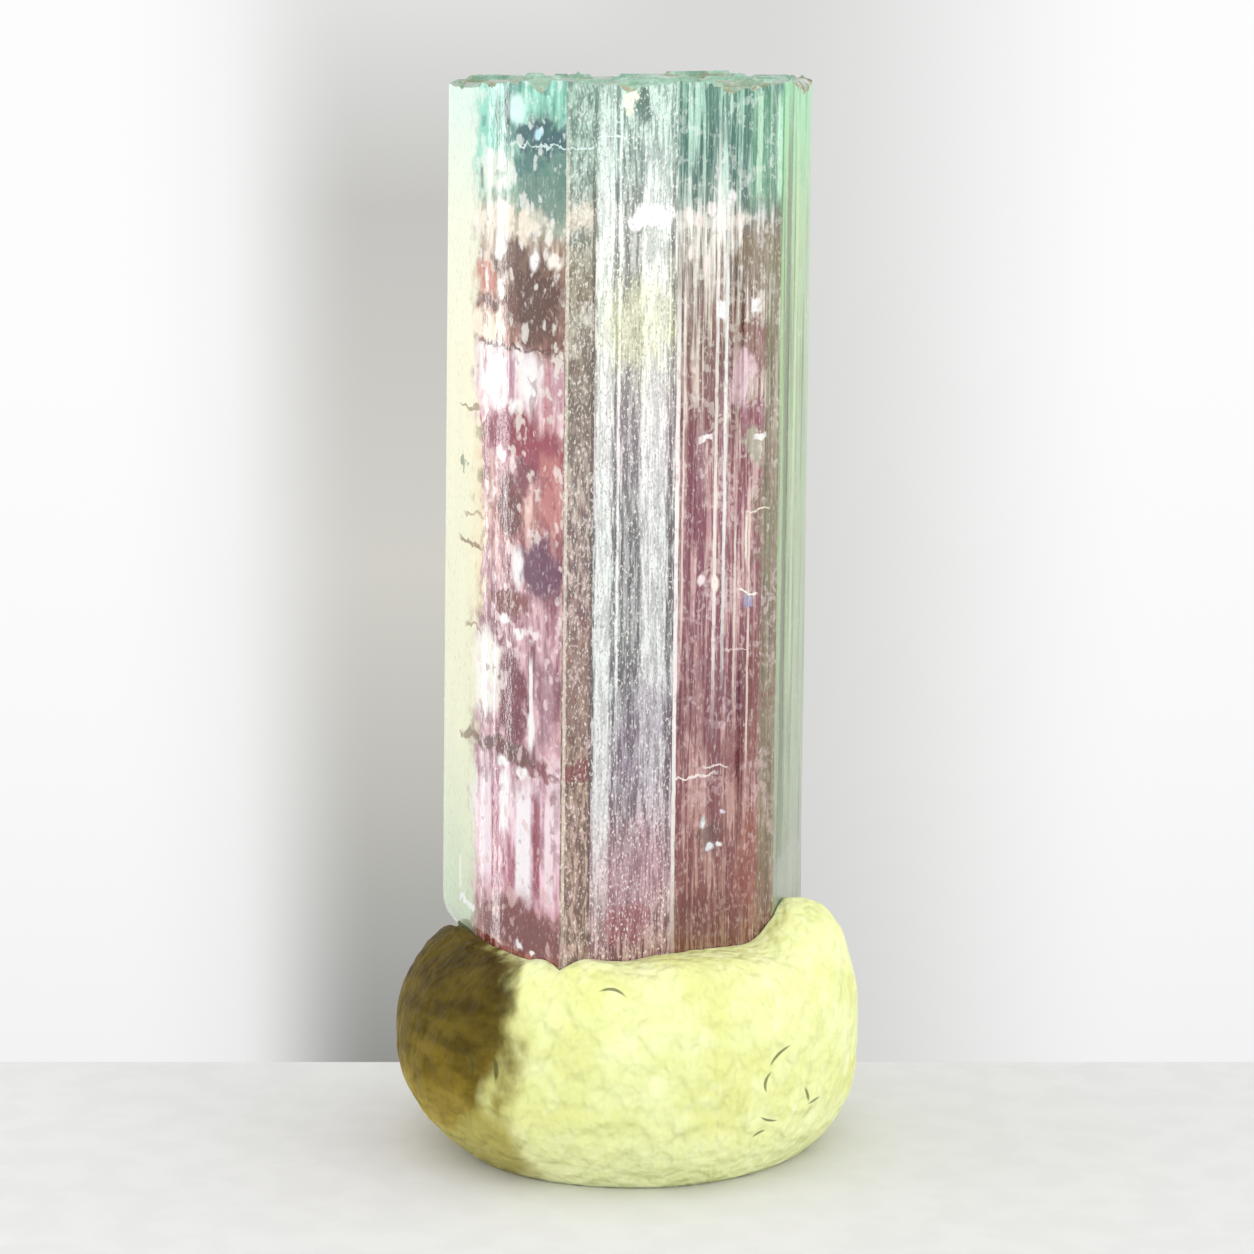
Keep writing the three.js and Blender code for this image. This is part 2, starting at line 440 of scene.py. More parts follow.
def flake(
    x: float, z: float, half_width: float, half_height: float, colour: str, strength: float = 1.0
) -> Mark:
    """Describe a line of an inner crack, or in white a painted reflection from a small crack face."""
    return Mark(x, z, half_width, half_height, colour, strength, Form.FLAKE)


def streak(
    x: float, low: float, high: float, half_width: float, colour: str, strength: float = 1.0
) -> Mark:
    """Describe a lengthwise line or strip between two heights."""
    return Mark(x, (low + high) / 2, half_width, (high - low) / 2, colour, strength, Form.FLAKE)


# Iron stain in the crystal's old cracks, and the white of the bubble clouds, by height.
STAIN: Stops = (
    (7.0, "6E2E30"), (12.0, "7E3442"), (20.0, "8A3650"), (26.0, "7C4034"), (28.4, "84764E"),
    (29.6, "3F7868"), (32.5, "2B7C70"),
)
CLOUDS: Stops = (
    (7.0, "D8ACA4"), (14.0, "F8DEE2"), (24.0, "FFFCF0"), (29.0, "FFFFFA"), (32.5, "E8FFF6"),
)


@dataclass(frozen=True)
class Skin:
    """The finish of one kind of crystal face, with its sizes in millimetres.

    Real growth lines are 0.01 to 0.1 wide, and real etch pits about 0.02. The finest of them are drawn
    up to five times as coarse, because they would be too fine to show.
    """

    name: str
    hollows: Stops  # colours by height between the ribs
    ribs: Stops  # and on them
    rib_width: float
    rib_run: float  # length over which a rib stays as it is
    contrast: float  # half the step from hollow to rib, where small is crisp
    roughness: float
    clearness: float  # share of the light that passes into the crystal
    relief: float  # depth of the fine lengthwise lines
    balance: float = 0.5  # how much of the face is hollow
    glitter: float = 0.0  # strength of painted glints and of pits painted dark as shade
    glitter_size: Triple = (0.07, 0.07, 0.1)
    stain: float = 0.0  # strength of the iron stain in healed cracks
    cloud: float = 0.0  # strength of the clouds of tiny bubbles
    beads: float = 0.0  # strength of the bright beads and of the stained seams between them
    bead_size: Triple = (0.32, 0.32, 0.55)
    rim: Stops = ()
    rim_edge: Pair = (0.0, 0.0)  # how far out the green rim starts, and is full
    over_rim: tuple[Mark, ...] = ()  # markings that show over the green rim, painted highlights among them
    marks: tuple[Mark, ...] = ()
    fray: float = 1.3  # how threadlike the ends of its marks are


# Smooth growth face, as on glass: what lies behind it shows, in pink, crimson and brown, with painted
# spots of light coming through.
WINDOW_SKIN = Skin(
    name="elbaite_smooth_window",
    hollows=(
        (7.0, "782A24"), (9.0, "AD5E75"), (12.2, "BB7891"), (12.9, "7A4955"), (17.0, "884D5E"),
        (20.0, "9A5656"), (22.9, "AE6E78"), (24.6, "D0A6B4"), (25.0, "6C3B2D"), (27.8, "916E5B"),
        (28.6, "BEC5B0"), (30.0, "66A48E"), (32.5, "58AA94"),
    ),
    ribs=(
        (7.0, "BE7A70"), (9.0, "FFD4E4"), (12.2, "FFF0F8"), (12.9, "E0B4BC"), (17.0, "ECC4CC"),
        (20.0, "F0C6BA"), (22.9, "F8D2D8"), (24.6, "FFFAFC"), (25.0, "C08874"), (28.0, "F8ECD8"),
        (30.0, "B6F0DC"), (32.5, "A8F4DE"),
    ),
    rib_width=0.3,
    rib_run=2.4,
    contrast=0.11,
    roughness=0.07,
    clearness=0.28,
    fray=0.4,
    relief=0.012,
    glitter=0.2,
    glitter_size=(0.12, 0.12, 0.18),
    stain=0.45,
    cloud=0.65,
    beads=0.65,
    bead_size=(0.42, 0.42, 0.62),
    rim=(
        (7.0, "CCE0C0"), (10.0, "E4F0CC"), (14.0, "F6F8D4"), (24.0, "FFFEDC"), (28.5, "FAFFE6"),
        (32.5, "E6FFF4"),
    ),
    rim_edge=(4.35, 4.8),
    over_rim=(
        flake(-4.75, 22.8, 0.35, 0.07, "8C7C48", 0.8),
        Mark(-5.0, 21.0, 0.12, 0.2, "6F8458", 0.8),
        flake(-4.6, 19.6, 0.35, 0.05, "9C8A5A", 0.7),
        flake(-4.7, 18.7, 0.4, 0.08, "85683F", 0.85),
        flake(-4.6, 16.2, 0.3, 0.05, "93704A", 0.7),
        Mark(-4.7, 12.8, 0.3, 0.2, "7A5A32", 0.8),
        # painted highlights along the rounded corner of the foot
        streak(-5.04, 7.8, 8.8, 0.035, "FFFFFF", 0.7),
        Mark(-4.8, 7.5, 0.25, 0.14, "FFFFFF", 0.9),
    ),
    marks=(
        Mark(-4.4, 30.9, 0.4, 1.2, "86E0C8", 0.75),
        Mark(-2.45, 30.0, 0.9, 1.7, "527F72", 0.88),
        Mark(-2.6, 31.0, 1.0, 0.52, "1C5A60"),
        Mark(-2.95, 30.2, 0.45, 0.35, "2D716E", 0.8),
        glow(-3.6, 31.7, 0.12, 0.6, "104E47"),
        glow(-3.3, 31.75, 0.3, 0.5, "DCFFFA"),
        glow(-2.65, 31.1, 0.14, 0.16, "BFEFFF"),
        flake(-2.4, 30.75, 1.15, 0.035, "E6FFFC", 0.8),
        Mark(-3.95, 30.0, 0.5, 0.6, "EEF8E6", 0.9),
        flake(-4.4, 29.7, 0.05, 0.35, "506957", 0.8),
        Mark(-3.7, 28.55, 1.3, 0.45, "FDF2DE", 0.9),
        Mark(-2.75, 26.4, 0.8, 1.5, "50240E"),
        Mark(-3.5, 27.5, 0.5, 0.55, "5E3328", 0.9),
        glow(-2.75, 27.5, 0.18, 0.45),
        glow(-2.15, 27.5, 0.28, 0.28, "FFF8EC"),
        glow(-3.8, 27.8, 0.2, 0.45, "FFFCF4"),
        Mark(-4.35, 26.7, 0.5, 0.5, "C97F6C", 0.95),
        Mark(-4.1, 26.1, 0.9, 0.16, "632C21", 0.8),
        Mark(-4.25, 25.4, 0.5, 0.45, "FFF2D8"),
        flake(-3.4, 24.85, 1.2, 0.07, "55261E", 0.9),
        glow(-3.9, 23.85, 0.36, 0.95),
        glow(-2.9, 23.95, 0.34, 0.9),
        glow(-3.3, 23.1, 0.28, 0.3),
        streak(-3.42, 23.3, 24.7, 0.09, "B47591", 0.8),
        streak(-2.35, 21.8, 24.7, 0.1, "C27C86", 0.8),
        Mark(-3.5, 22.3, 0.85, 0.7, "8C2240"),
        Mark(-2.5, 21.9, 0.8, 0.65, "962A44", 0.95),
        glow(-3.75, 21.7, 0.18, 0.25, "FFE8E8"),
        glow(-3.35, 21.45, 0.15, 0.25, "FFDCE0"),
        Mark(-3.0, 21.2, 0.35, 0.5, "731E36", 0.9),
        Mark(-3.5, 20.2, 0.42, 0.95, "601E1E", 0.95),
        streak(-2.25, 19.6, 22.0, 0.33, "C27571", 0.85),
        Mark(-4.6, 19.5, 0.36, 3.2, "F8EEC0", 0.9),
        Mark(-4.4, 22.1, 0.22, 0.2, "776944", 0.6),
        Mark(-4.4, 20.9, 0.25, 0.2, "7A693F", 0.6),
        glow(-3.2, 18.4, 0.24, 0.75),
        Mark(-2.5, 18.45, 0.65, 0.9, "602D52", 0.95),
        Mark(-3.5, 17.3, 0.6, 0.42, "752F27", 0.9),
        glow(-3.6, 16.75, 0.24, 0.22),
        glow(-3.15, 16.4, 0.22, 0.2),
        glow(-2.7, 16.6, 0.2, 0.16, "FFF0F4"),
        Mark(-3.35, 14.4, 0.42, 1.7, "6C1C2F"),
        Mark(-4.25, 14.9, 0.5, 1.4, "FFFEF4"),
        Mark(-2.35, 14.6, 0.35, 1.4, "8D5E71", 0.7),
        streak(-2.78, 13.0, 15.9, 0.06, "FFFFFF", 0.95),
        glow(-2.78, 13.7, 0.14, 0.6),
        Mark(-3.6, 12.75, 1.0, 0.28, "572819", 0.9),
        Mark(-2.5, 12.45, 0.6, 0.25, "772633", 0.8),
        glow(-3.65, 12.45, 0.2, 0.2),
        glow(-3.05, 12.3, 0.24, 0.24),
        streak(-4.6, 10.2, 11.9, 0.15, "FFF4FA", 0.9),
        streak(-4.2, 8.6, 12.0, 0.2, "FFF0F8", 0.95),
        streak(-3.6, 10.3, 12.1, 0.15, "FFFFFF", 0.95),
        streak(-3.0, 8.4, 11.9, 0.25, "FFFAFE"),
        streak(-2.2, 8.6, 11.8, 0.14, "FFECF2", 0.9),
        streak(-3.88, 8.2, 11.2, 0.12, "9B3152", 0.85),
        streak(-2.58, 8.5, 11.8, 0.11, "91334B", 0.8),
        Mark(-3.3, 7.6, 1.1, 0.75, "741C18", 0.95),
        Mark(-2.4, 7.5, 0.55, 0.7, "783833", 0.85),
        glow(-3.1, 7.05, 0.12, 0.12),
        glow(-2.7, 6.95, 0.1, 0.1),
    ),
)

# Narrow matt growth face at the front edge: brown-grey, full of pale specks and fine scratches.
SPECKLED_SKIN = Skin(
    name="elbaite_matt_growth_edge",
    hollows=(
        (7.0, "6E5044"), (12.0, "654B3D"), (18.0, "685150"), (22.0, "6D6058"), (27.0, "6D6856"),
        (29.3, "6B8275"), (32.5, "5E8578"),
    ),
    ribs=(
        (7.0, "C8AC9C"), (13.0, "AB917E"), (18.0, "BAA59C"), (25.0, "B2AB96"), (28.8, "C4C4B2"),
        (30.0, "AFC9BA"), (32.5, "A4C9B6"),
    ),
    rib_width=0.075,
    rib_run=0.6,
    contrast=0.1,
    roughness=0.45,
    clearness=0.2,
    relief=0.02,
    balance=0.52,
    beads=0.35,
    bead_size=(0.12, 0.12, 0.22),
    glitter=0.6,
    glitter_size=(0.06, 0.06, 0.12),
    marks=(
        flake(-1.4, 30.8, 0.5, 0.03, "E6FFFC", 0.7),
        Mark(-1.4, 28.7, 0.6, 0.35, "E8DCC8", 0.6),
        Mark(-1.5, 27.0, 0.5, 0.9, "756546", 0.5),
        Mark(-1.4, 23.4, 0.6, 1.5, "5A4634", 0.5),
        Mark(-1.4, 15.2, 0.6, 1.6, "85695B", 0.7),
        Mark(-1.35, 12.7, 0.6, 0.35, "752B30", 0.8),
        streak(-1.78, 7.0, 32.0, 0.05, "F4E8D8", 0.55),
        streak(-1.03, 7.0, 32.0, 0.045, "413935", 0.75),
    ),
)

# Etched front face: frosted, its pale silver partly painted sheen, with fine lengthwise lines, greenish
# above and lilac below.
SILVER_SKIN = Skin(
    name="elbaite_etched_silver",
    hollows=(
        (7.0, "743F46"), (9.5, "845F69"), (12.0, "6C5C64"), (13.8, "5A505A"), (16.0, "54585C"),
        (20.0, "5E6062"), (23.0, "81757C"), (26.0, "888D77"), (30.0, "69887C"), (32.5, "638E7F"),
    ),
    ribs=(
        (7.0, "C19E9A"), (9.5, "D8B9BD"), (12.0, "C0B8C2"), (16.0, "C8D0CE"), (20.0, "D2D8D4"),
        (22.0, "E0DADC"), (25.6, "E9EDD4"), (28.6, "EFF3EB"), (30.0, "C8E0D4"), (32.5, "C1E0D2"),
    ),
    rib_width=0.06,
    rib_run=1.1,
    contrast=0.07,
    roughness=0.34,
    clearness=0.2,
    relief=0.025,
    balance=0.5,
    glitter=0.75,
    glitter_size=(0.055, 0.055, 0.11),
    marks=(
        streak(-0.7, 8.0, 32.2, 0.24, "F4FCF8", 0.5),
        streak(-0.37, 10.0, 32.2, 0.035, "505454", 0.65),
        streak(-0.28, 14.0, 32.2, 0.035, "FFFFFF", 0.6),
        streak(0.08, 8.5, 31.5, 0.3, "5A565C", 0.45),
        streak(0.76, 12.0, 31.5, 0.38, "F8FCFA", 0.42),
        streak(-0.14, 15.0, 20.6, 0.04, "3A3E42", 0.7),
        streak(0.1, 15.4, 20.2, 0.035, "404448", 0.7),
        streak(0.34, 15.8, 19.8, 0.04, "44484C", 0.6),
        streak(1.26, 7.5, 31.5, 0.06, "4C3E45", 0.6),
        flake(-0.6, 31.0, 0.4, 0.03, "F0FFFC", 0.7),
        Mark(0.55, 28.7, 0.65, 0.32, "FFFFFF"),
        Mark(0.3, 25.6, 1.0, 1.2, "F4F6B4", 0.28),
        Mark(0.3, 31.9, 0.3, 0.45, "255C4C", 0.9),
        Mark(-0.1, 32.0, 0.22, 0.35, "FAFFE0"),
        Mark(0.3, 12.9, 0.7, 1.2, "75577B", 0.25),
        Mark(0.75, 14.3, 0.5, 0.9, "6A4A72", 0.35),
        Mark(0.3, 9.4, 1.0, 1.5, "A27B87", 0.5),
        Mark(0.1, 7.9, 0.8, 0.6, "8C3B4B", 0.6),
    ),
)

# Deeply striated front face: dark crimson and brown grooves between pale beaded ribs.
STRIPED_SKIN = Skin(
    name="elbaite_deep_striations",
    hollows=(
        (7.0, "804A3C"), (10.0, "844A4A"), (15.0, "784050"), (21.0, "82364A"), (25.0, "6E463A"),
        (28.0, "81796B"), (28.9, "5A7A6D"), (30.0, "3C6D63"), (32.5, "3C7E69"),
    ),
    ribs=(
        (7.0, "B48C78"), (10.0, "C49A90"), (15.0, "CCA29E"), (21.0, "D8B4B2"), (25.0, "E9E1CF"),
        (28.4, "F9F7EF"), (30.0, "B8DFCF"), (32.5, "B4E9CF"),
    ),
    rib_width=0.085,
    rib_run=3.5,
    contrast=0.07,
    roughness=0.2,
    clearness=0.35,
    relief=0.03,
    balance=0.52,
    glitter=0.3,
    glitter_size=(0.05, 0.05, 0.26),
    stain=0.35,
    cloud=0.3,
    beads=0.35,
    bead_size=(0.17, 0.17, 0.3),
    marks=(
        streak(3.95, 28.9, 32.3, 0.5, "61A780", 0.65),
        streak(3.75, 29.2, 32.2, 0.09, "C8F4D4", 0.9),
        streak(4.15, 28.9, 32.2, 0.06, "367959", 0.9),
        streak(4.35, 28.9, 32.3, 0.08, "C4F6D2", 0.9),
        Mark(2.4, 28.6, 1.2, 0.25, "FFFCF4", 0.5),
        glow(1.65, 28.75, 0.14, 0.22, "FFF6F0"),
        glow(1.98, 28.5, 0.12, 0.3, "FFF2EC"),
        glow(2.35, 28.95, 0.16, 0.16, "FFFAF4"),
        glow(2.6, 28.6, 0.14, 0.28, "FFF4EE"),
        glow(2.95, 29.2, 0.16, 0.2),
        glow(3.2, 28.5, 0.14, 0.3, "FFF4EE"),
        glow(1.75, 27.6, 0.08, 0.2, "FFEEE6"),
        glow(2.2, 27.3, 0.08, 0.26, "FFF0EA"),
        Mark(3.85, 27.5, 0.75, 0.75, "796745", 0.8),
        Mark(3.75, 24.8, 0.5, 0.9, "793B30", 0.8),
        Mark(3.35, 24.0, 0.35, 0.8, "F4D8E0", 0.8),
        Mark(3.75, 22.9, 0.55, 0.45, "8C3754", 0.65),
        Mark(1.95, 21.2, 0.35, 1.9, "6E2238", 0.6),
        Mark(2.3, 14.6, 0.75, 1.3, "6A2438", 0.5),
        Mark(3.3, 12.9, 0.5, 0.8, "6E2430", 0.55),
        Mark(2.3, 8.0, 0.9, 0.7, "6E2422", 0.5),
        Mark(3.75, 21.9, 0.35, 0.6, "B3B39B", 0.9),
        Mark(4.1, 19.5, 0.35, 1.6, "7B6B4E", 0.7),
        Mark(3.9, 14.5, 0.4, 2.4, "793B2E", 0.7),
        Mark(3.85, 9.3, 0.45, 1.8, "94503A", 0.65),
        streak(4.4, 7.0, 28.3, 0.42, "84906C", 0.6),
        Mark(2.6, 10.3, 0.35, 0.5, "524040", 0.6),
        glow(2.35, 10.75, 0.08, 0.28, "F0FFFF"),
        glow(2.55, 9.95, 0.14, 0.12, "F0FAFF"),
        glow(2.85, 10.0, 0.12, 0.12),
        glow(2.95, 11.0, 0.1, 0.1, "F4F0FF"),
        glow(2.2, 18.0, 0.14, 0.22, "FFF0F4"),
        glow(2.6, 17.9, 0.12, 0.3, "FFFCE8"),
        flake(2.0, 12.15, 0.75, 0.04, "FFF8F4", 0.9),
        flake(2.7, 12.35, 0.4, 0.035, "FFF8F4", 0.8),
        flake(3.3, 15.9, 0.4, 0.03, "FFE8E0", 0.6),
        streak(1.45, 7.0, 27.6, 0.065, "FFFEFA"),
        streak(1.62, 16.0, 27.0, 0.03, "FFF4EA", 0.8),
        streak(2.58, 14.0, 31.0, 0.05, "FFFBF4", 0.85),
        streak(2.85, 15.0, 28.5, 0.05, "F4FFFC", 0.8),
        streak(3.2, 14.0, 20.0, 0.035, "FFF2E6", 0.8),
        streak(3.62, 12.0, 20.5, 0.035, "FFEEDC", 0.8),
        flake(2.66, 26.0, 0.14, 0.28, "FFFFFF"),
        flake(3.7, 26.1, 0.14, 0.2, "FFFFFF"),
        flake(2.27, 22.2, 0.22, 0.09, "FFFFFF"),
        flake(3.9, 22.15, 0.2, 0.12, "FFFFFA"),
        flake(3.86, 19.95, 0.36, 0.035, "F8F4DC"),
        flake(3.52, 19.2, 0.035, 0.75, "F8F4DC"),
        flake(3.6, 17.6, 0.3, 0.045, "FFFFF4"),
        flake(3.62, 17.35, 0.15, 0.2, "9E9EC2", 0.9),
    ),
)

# Smooth green rind at the right: the last layer that grew, with a few faint lines.
RIND_SKIN = Skin(
    name="elbaite_green_rind",
    hollows=((7.0, "565E48"), (12.0, "5E7256"), (22.0, "647E54"), (28.0, "668A5A"), (32.5, "56A070")),
    ribs=((7.0, "868C74"), (12.0, "94A884"), (22.0, "98B480"), (28.0, "9CC488"), (32.5, "90D8A0")),
    rib_width=0.16,
    rib_run=9.0,
    contrast=0.08,
    roughness=0.3,
    clearness=0.15,
    relief=0.01,
    balance=0.44,
    glitter=0.15,
    stain=0.12,
    cloud=0.12,
    marks=(
        streak(4.7, 8.5, 32.3, 0.08, "56603E", 0.85),
        streak(4.98, 14.0, 31.0, 0.05, "C8DCA8", 0.5),
        Mark(5.0, 8.3, 0.5, 1.0, "9CA496", 0.7),
    ),
)

# Grooved back faces: the same zones, seen between green edges.
GROOVED_SKIN = Skin(
    name="elbaite_grooved_back",
    hollows=(
        (7.0, "6C3B34"), (12.0, "7C3544"), (20.0, "87394C"), (26.0, "744736"), (28.6, "9EA285"),
        (30.0, "447E6C"), (32.5, "357C64"),
    ),
    ribs=(
        (7.0, "BF9189"), (12.0, "D6ACB3"), (20.0, "E3BFC5"), (26.0, "E5D2C1"), (28.6, "F2F2E9"),
        (30.0, "BBE5D6"), (32.5, "AFE7CE"),
    ),
    rib_width=0.16,
    rib_run=6.0,
    contrast=0.07,
    roughness=0.16,
    clearness=0.55,
    relief=0.02,
    glitter=0.3,
    stain=0.4,
    cloud=0.35,
    beads=0.3,
    bead_size=(0.35, 0.35, 0.7),
    rim=((7.0, "C4D0B4"), (20.0, "D4E2BE"), (28.5, "D4ECC4"), (32.5, "BCF0D2")),
    rim_edge=(4.0, 5.9),
)

# Broken ends: glassy green, with olive dirt in the hollows.
BROKEN_SKIN = Skin(
    name="elbaite_broken_end",
    hollows=((6.0, "54302C"), (28.0, "76865A"), (32.25, "827A4C"), (32.55, "72A88A"), (33.0, "62A284")),
    ribs=((6.0, "B08C84"), (28.0, "B4CCA4"), (32.25, "B0AC84"), (32.55, "B0DCC2"), (33.0, "A8DCC0")),
    rib_width=0.5,
    rib_run=0.5,
    contrast=0.2,
    balance=0.5,
    roughness=0.13,
    clearness=0.35,
    relief=0.05,
    glitter=0.25,
    cloud=0.3,
    beads=0.25,
    bead_size=(0.7, 0.7, 0.7),
)

SKINS = {
    Polish.WINDOW: WINDOW_SKIN,
    Polish.SPECKLED: SPECKLED_SKIN,
    Polish.SILVER: SILVER_SKIN,
    Polish.STRIPED: STRIPED_SKIN,
    Polish.GREEN_RIND: RIND_SKIN,
    Polish.GROOVED: GROOVED_SKIN,
    Polish.BROKEN: BROKEN_SKIN,
}


# Sizes of the crystal's patterns, in millimetres across, deep and high
ZONE_EDGE = (1.3, 1.3, 0.9)  # waves in the edge between two colour zones
STAIN_PATCH = (1.1, 1.1, 1.3)  # one patch of stain
CLOUD_PUFF = (0.5, 0.5, 0.4)  # one cloud of bubbles, each of them too fine to draw
BEAD_REGION = (0.9, 0.9, 0.8)  # a place full of beads, or without any
THREAD = (0.16, 0.16, 0.3)  # threads at the end of a stain, drawn about four times as coarse as real

GLINT = "FFFBF2"  # painted glint of a small growth facet that faces the light
PIT = "4A3A38"  # an etch pit in shadow
INNER_TINT = ("F2E6E2", 12.0)  # colour and density of what absorbs light inside


class CrystalPaint(Painter):
    """Elbaite tourmaline as it grew, not polished: glassy, zoned in colour, with lengthwise lines.

    Its own colour and its cracks are seen through the skin, so they are laid on each face as they show
    from the front, with painted glints, spots of light and sheen among them, and transmission and
    absorption let part of the light through.
    """

    zone_wander: float = 1.5  # how far a zone's edge wanders up and down
    blur_scale: float = 1.6  # bends in a marking's outline, for each millimetre
    cloud_reach: Triple = (0.9, 0.0, 1.1)  # how far they move a cloud's edge
    crack_reach: Triple = (0.06, 0.0, 0.7)  # and any other marking's

    def __init__(self, name: str, section: CrystalSection) -> None:
        """Lay the patterns along the crystal's lean, with zones that end in no straight line.

        Args:
            name: The material's name.
            section: The crystal's section, which knows its lean.
        """
        super().__init__(name)
        middle = (section.lean * section.true_z, 0, 0)
        upright = self.add("Mapping", {"Vector": self.place, "Location": middle})
        aside = {0: self.z, 1: (-section.lean, 0, 0), 2: upright}
        self.place = self.add("VectorMath", aside, operation="MULTIPLY_ADD")
        wander = self.add("Math", {0: self.grain(ZONE_EDGE, 4.0, 4.0), 1: 0.5}, operation="SUBTRACT")
        level = {0: wander, 1: self.zone_wander, 2: self.z}
        self.height = self.add("Math", level, operation="MULTIPLY_ADD")
        bends = {"Vector": self.place, "Scale": self.blur_scale, "Detail": 3.0, "Roughness": 0.55}
        blur = self.add("TexNoise", bends, out="Color")
        blur = self.add("VectorMath", {0: blur, 1: (0.5, 0.5, 0.5)}, operation="SUBTRACT")
        ragged = {0: blur, 1: self.cloud_reach, 2: self.place}
        self.ragged = self.add("VectorMath", ragged, operation="MULTIPLY_ADD")
        crisp = {0: blur, 1: self.crack_reach, 2: self.place}
        self.crisp = self.add("VectorMath", crisp, operation="MULTIPLY_ADD")

    def zoned(self, stops: Stops) -> Socket:
        """Colour by the crystal's zones."""
        return self.by_height(stops, self.height)

    def marked(self, colour: Socket, mark: Mark) -> Socket:
        """Lay one marking over a colour.

        Args:
            colour: The colour under it.
            mark: The marking.

        Returns:
            The colour with the marking on it.
        """
        size = (1 / mark.half_width, 0.0, 1 / mark.half_height)
        offset = (-mark.x / mark.half_width, 0.0, -mark.z / mark.half_height)
        place = self.ragged if mark.form is Form.CLOUD else self.crisp
        off = self.add("VectorMath", {0: place, 1: size, 2: offset}, operation="MULTIPLY_ADD")
        if mark.form is Form.FLAKE:
            sides = self.add("VectorMath", {0: off}, operation="ABSOLUTE")
            aside, _, above = self.add("SeparateXYZ", {0: sides}).node.outputs
            away = self.add("Math", {0: aside, 1: above}, operation="MAXIMUM")
        else:
            away = self.add("VectorMath", {0: off}, out="Value", operation="LENGTH")
        if mark.form is Form.CLOUD:
            away = self.add("Math", {0: away, 1: self.fray}, operation="ADD")
        return self.coat(colour, mark.colour, away, *mark.form.value, mark.strength)

    def dressed(self, skin: Skin, ior: float) -> bpy.types.Material:
        """Paint one kind of face.

        Args:
            skin: Its finish.
            ior: Refractive index of the crystal.

        Returns:
            The material.
        """
        fray = {0: self.grain(THREAD, 3.0, 21.0), 1: skin.fray, 2: -skin.fray / 2}
        self.fray = self.add("Math", fray, operation="MULTIPLY_ADD")
        width = skin.rib_width
        broad = self.grain((width * 2.6, width * 2.6, skin.rib_run), 1.0, 2.0)
        narrow = self.grain((width, width, skin.rib_run * 0.6), 2.0, 5.0)
        ribs = self.add("Mix", {0: 0.5, 2: broad, 3: narrow})
        low, high = skin.balance - skin.contrast, skin.balance + skin.contrast
        colour = self.coat(self.zoned(skin.hollows), self.zoned(skin.ribs), ribs, low, high)
        if skin.stain:
            patches = self.grain(STAIN_PATCH, 4.0, 11.0)
            colour = self.coat(colour, self.zoned(STAIN), patches, 0.54, 0.62, skin.stain)
        if skin.cloud:
            puffs = self.grain(CLOUD_PUFF, 4.0, 14.0)
            colour = self.coat(colour, self.zoned(CLOUDS), puffs, 0.58, 0.66, skin.cloud)
        for mark in skin.marks:
            colour = self.marked(colour, mark)
        if skin.beads:
            scale = tuple(1 / s for s in skin.bead_size)
            bent = self.add("Mapping", {"Vector": self.ragged, "Scale": scale})
            cells = self.add("TexVoronoi", {"Vector": bent, "Scale": 1.0}, out="Distance")
            region = self.grain(BEAD_REGION, 3.0, 31.0)
            tone = self.add("Math", {0: region, 1: 2.2, 2: cells}, operation="MULTIPLY_ADD")
            colour = self.coat(colour, self.zoned(CLOUDS), tone, 1.42, 1.18, skin.beads)
            colour = self.coat(colour, self.zoned(STAIN), tone, 1.85, 2.1, skin.beads * 0.8)
        if skin.rim:
            sides = self.add("VectorMath", {0: self.ragged}, operation="ABSOLUTE")
            aside = self.add("SeparateXYZ", {0: sides})
            colour = self.coat(colour, self.zoned(skin.rim), aside, *skin.rim_edge)
        for mark in skin.over_rim:
            colour = self.marked(colour, mark)
        # painted glints of small facets that face the light, and etch pits painted dark as shade
        points = self.grain(skin.glitter_size, 2.0, 9.0)
        colour = self.coat(colour, GLINT, points, 0.56, 0.7, skin.glitter)
        colour = self.coat(colour, PIT, points, 0.44, 0.3, skin.glitter * 0.7)
        height = self.add("Mix", {0: 0.35, 2: ribs, 3: points})
        surface = {
            "Base Color": colour,
            "Roughness": skin.roughness,
            "IOR": ior,
            "Transmission Weight": skin.clearness,
            "Normal": self.add("Bump", {"Height": height, "Distance": skin.relief * MM, "Strength": 1.0}),
        }
        return self.finish(surface, INNER_TINT)


@dataclass(frozen=True)
class Chip:
    """A shell-shaped bite out of the top rim, in millimetres."""

    x: float
    y: float
    reach: float
    stretch: float  # its other reach, as a share of the first
    turn: float  # in radians
    depth: float
    ripple: float = 0.04  # height of the ripples in it, as a share of its depth
    ripple_turn: float = 14.0  # how closely they follow each other


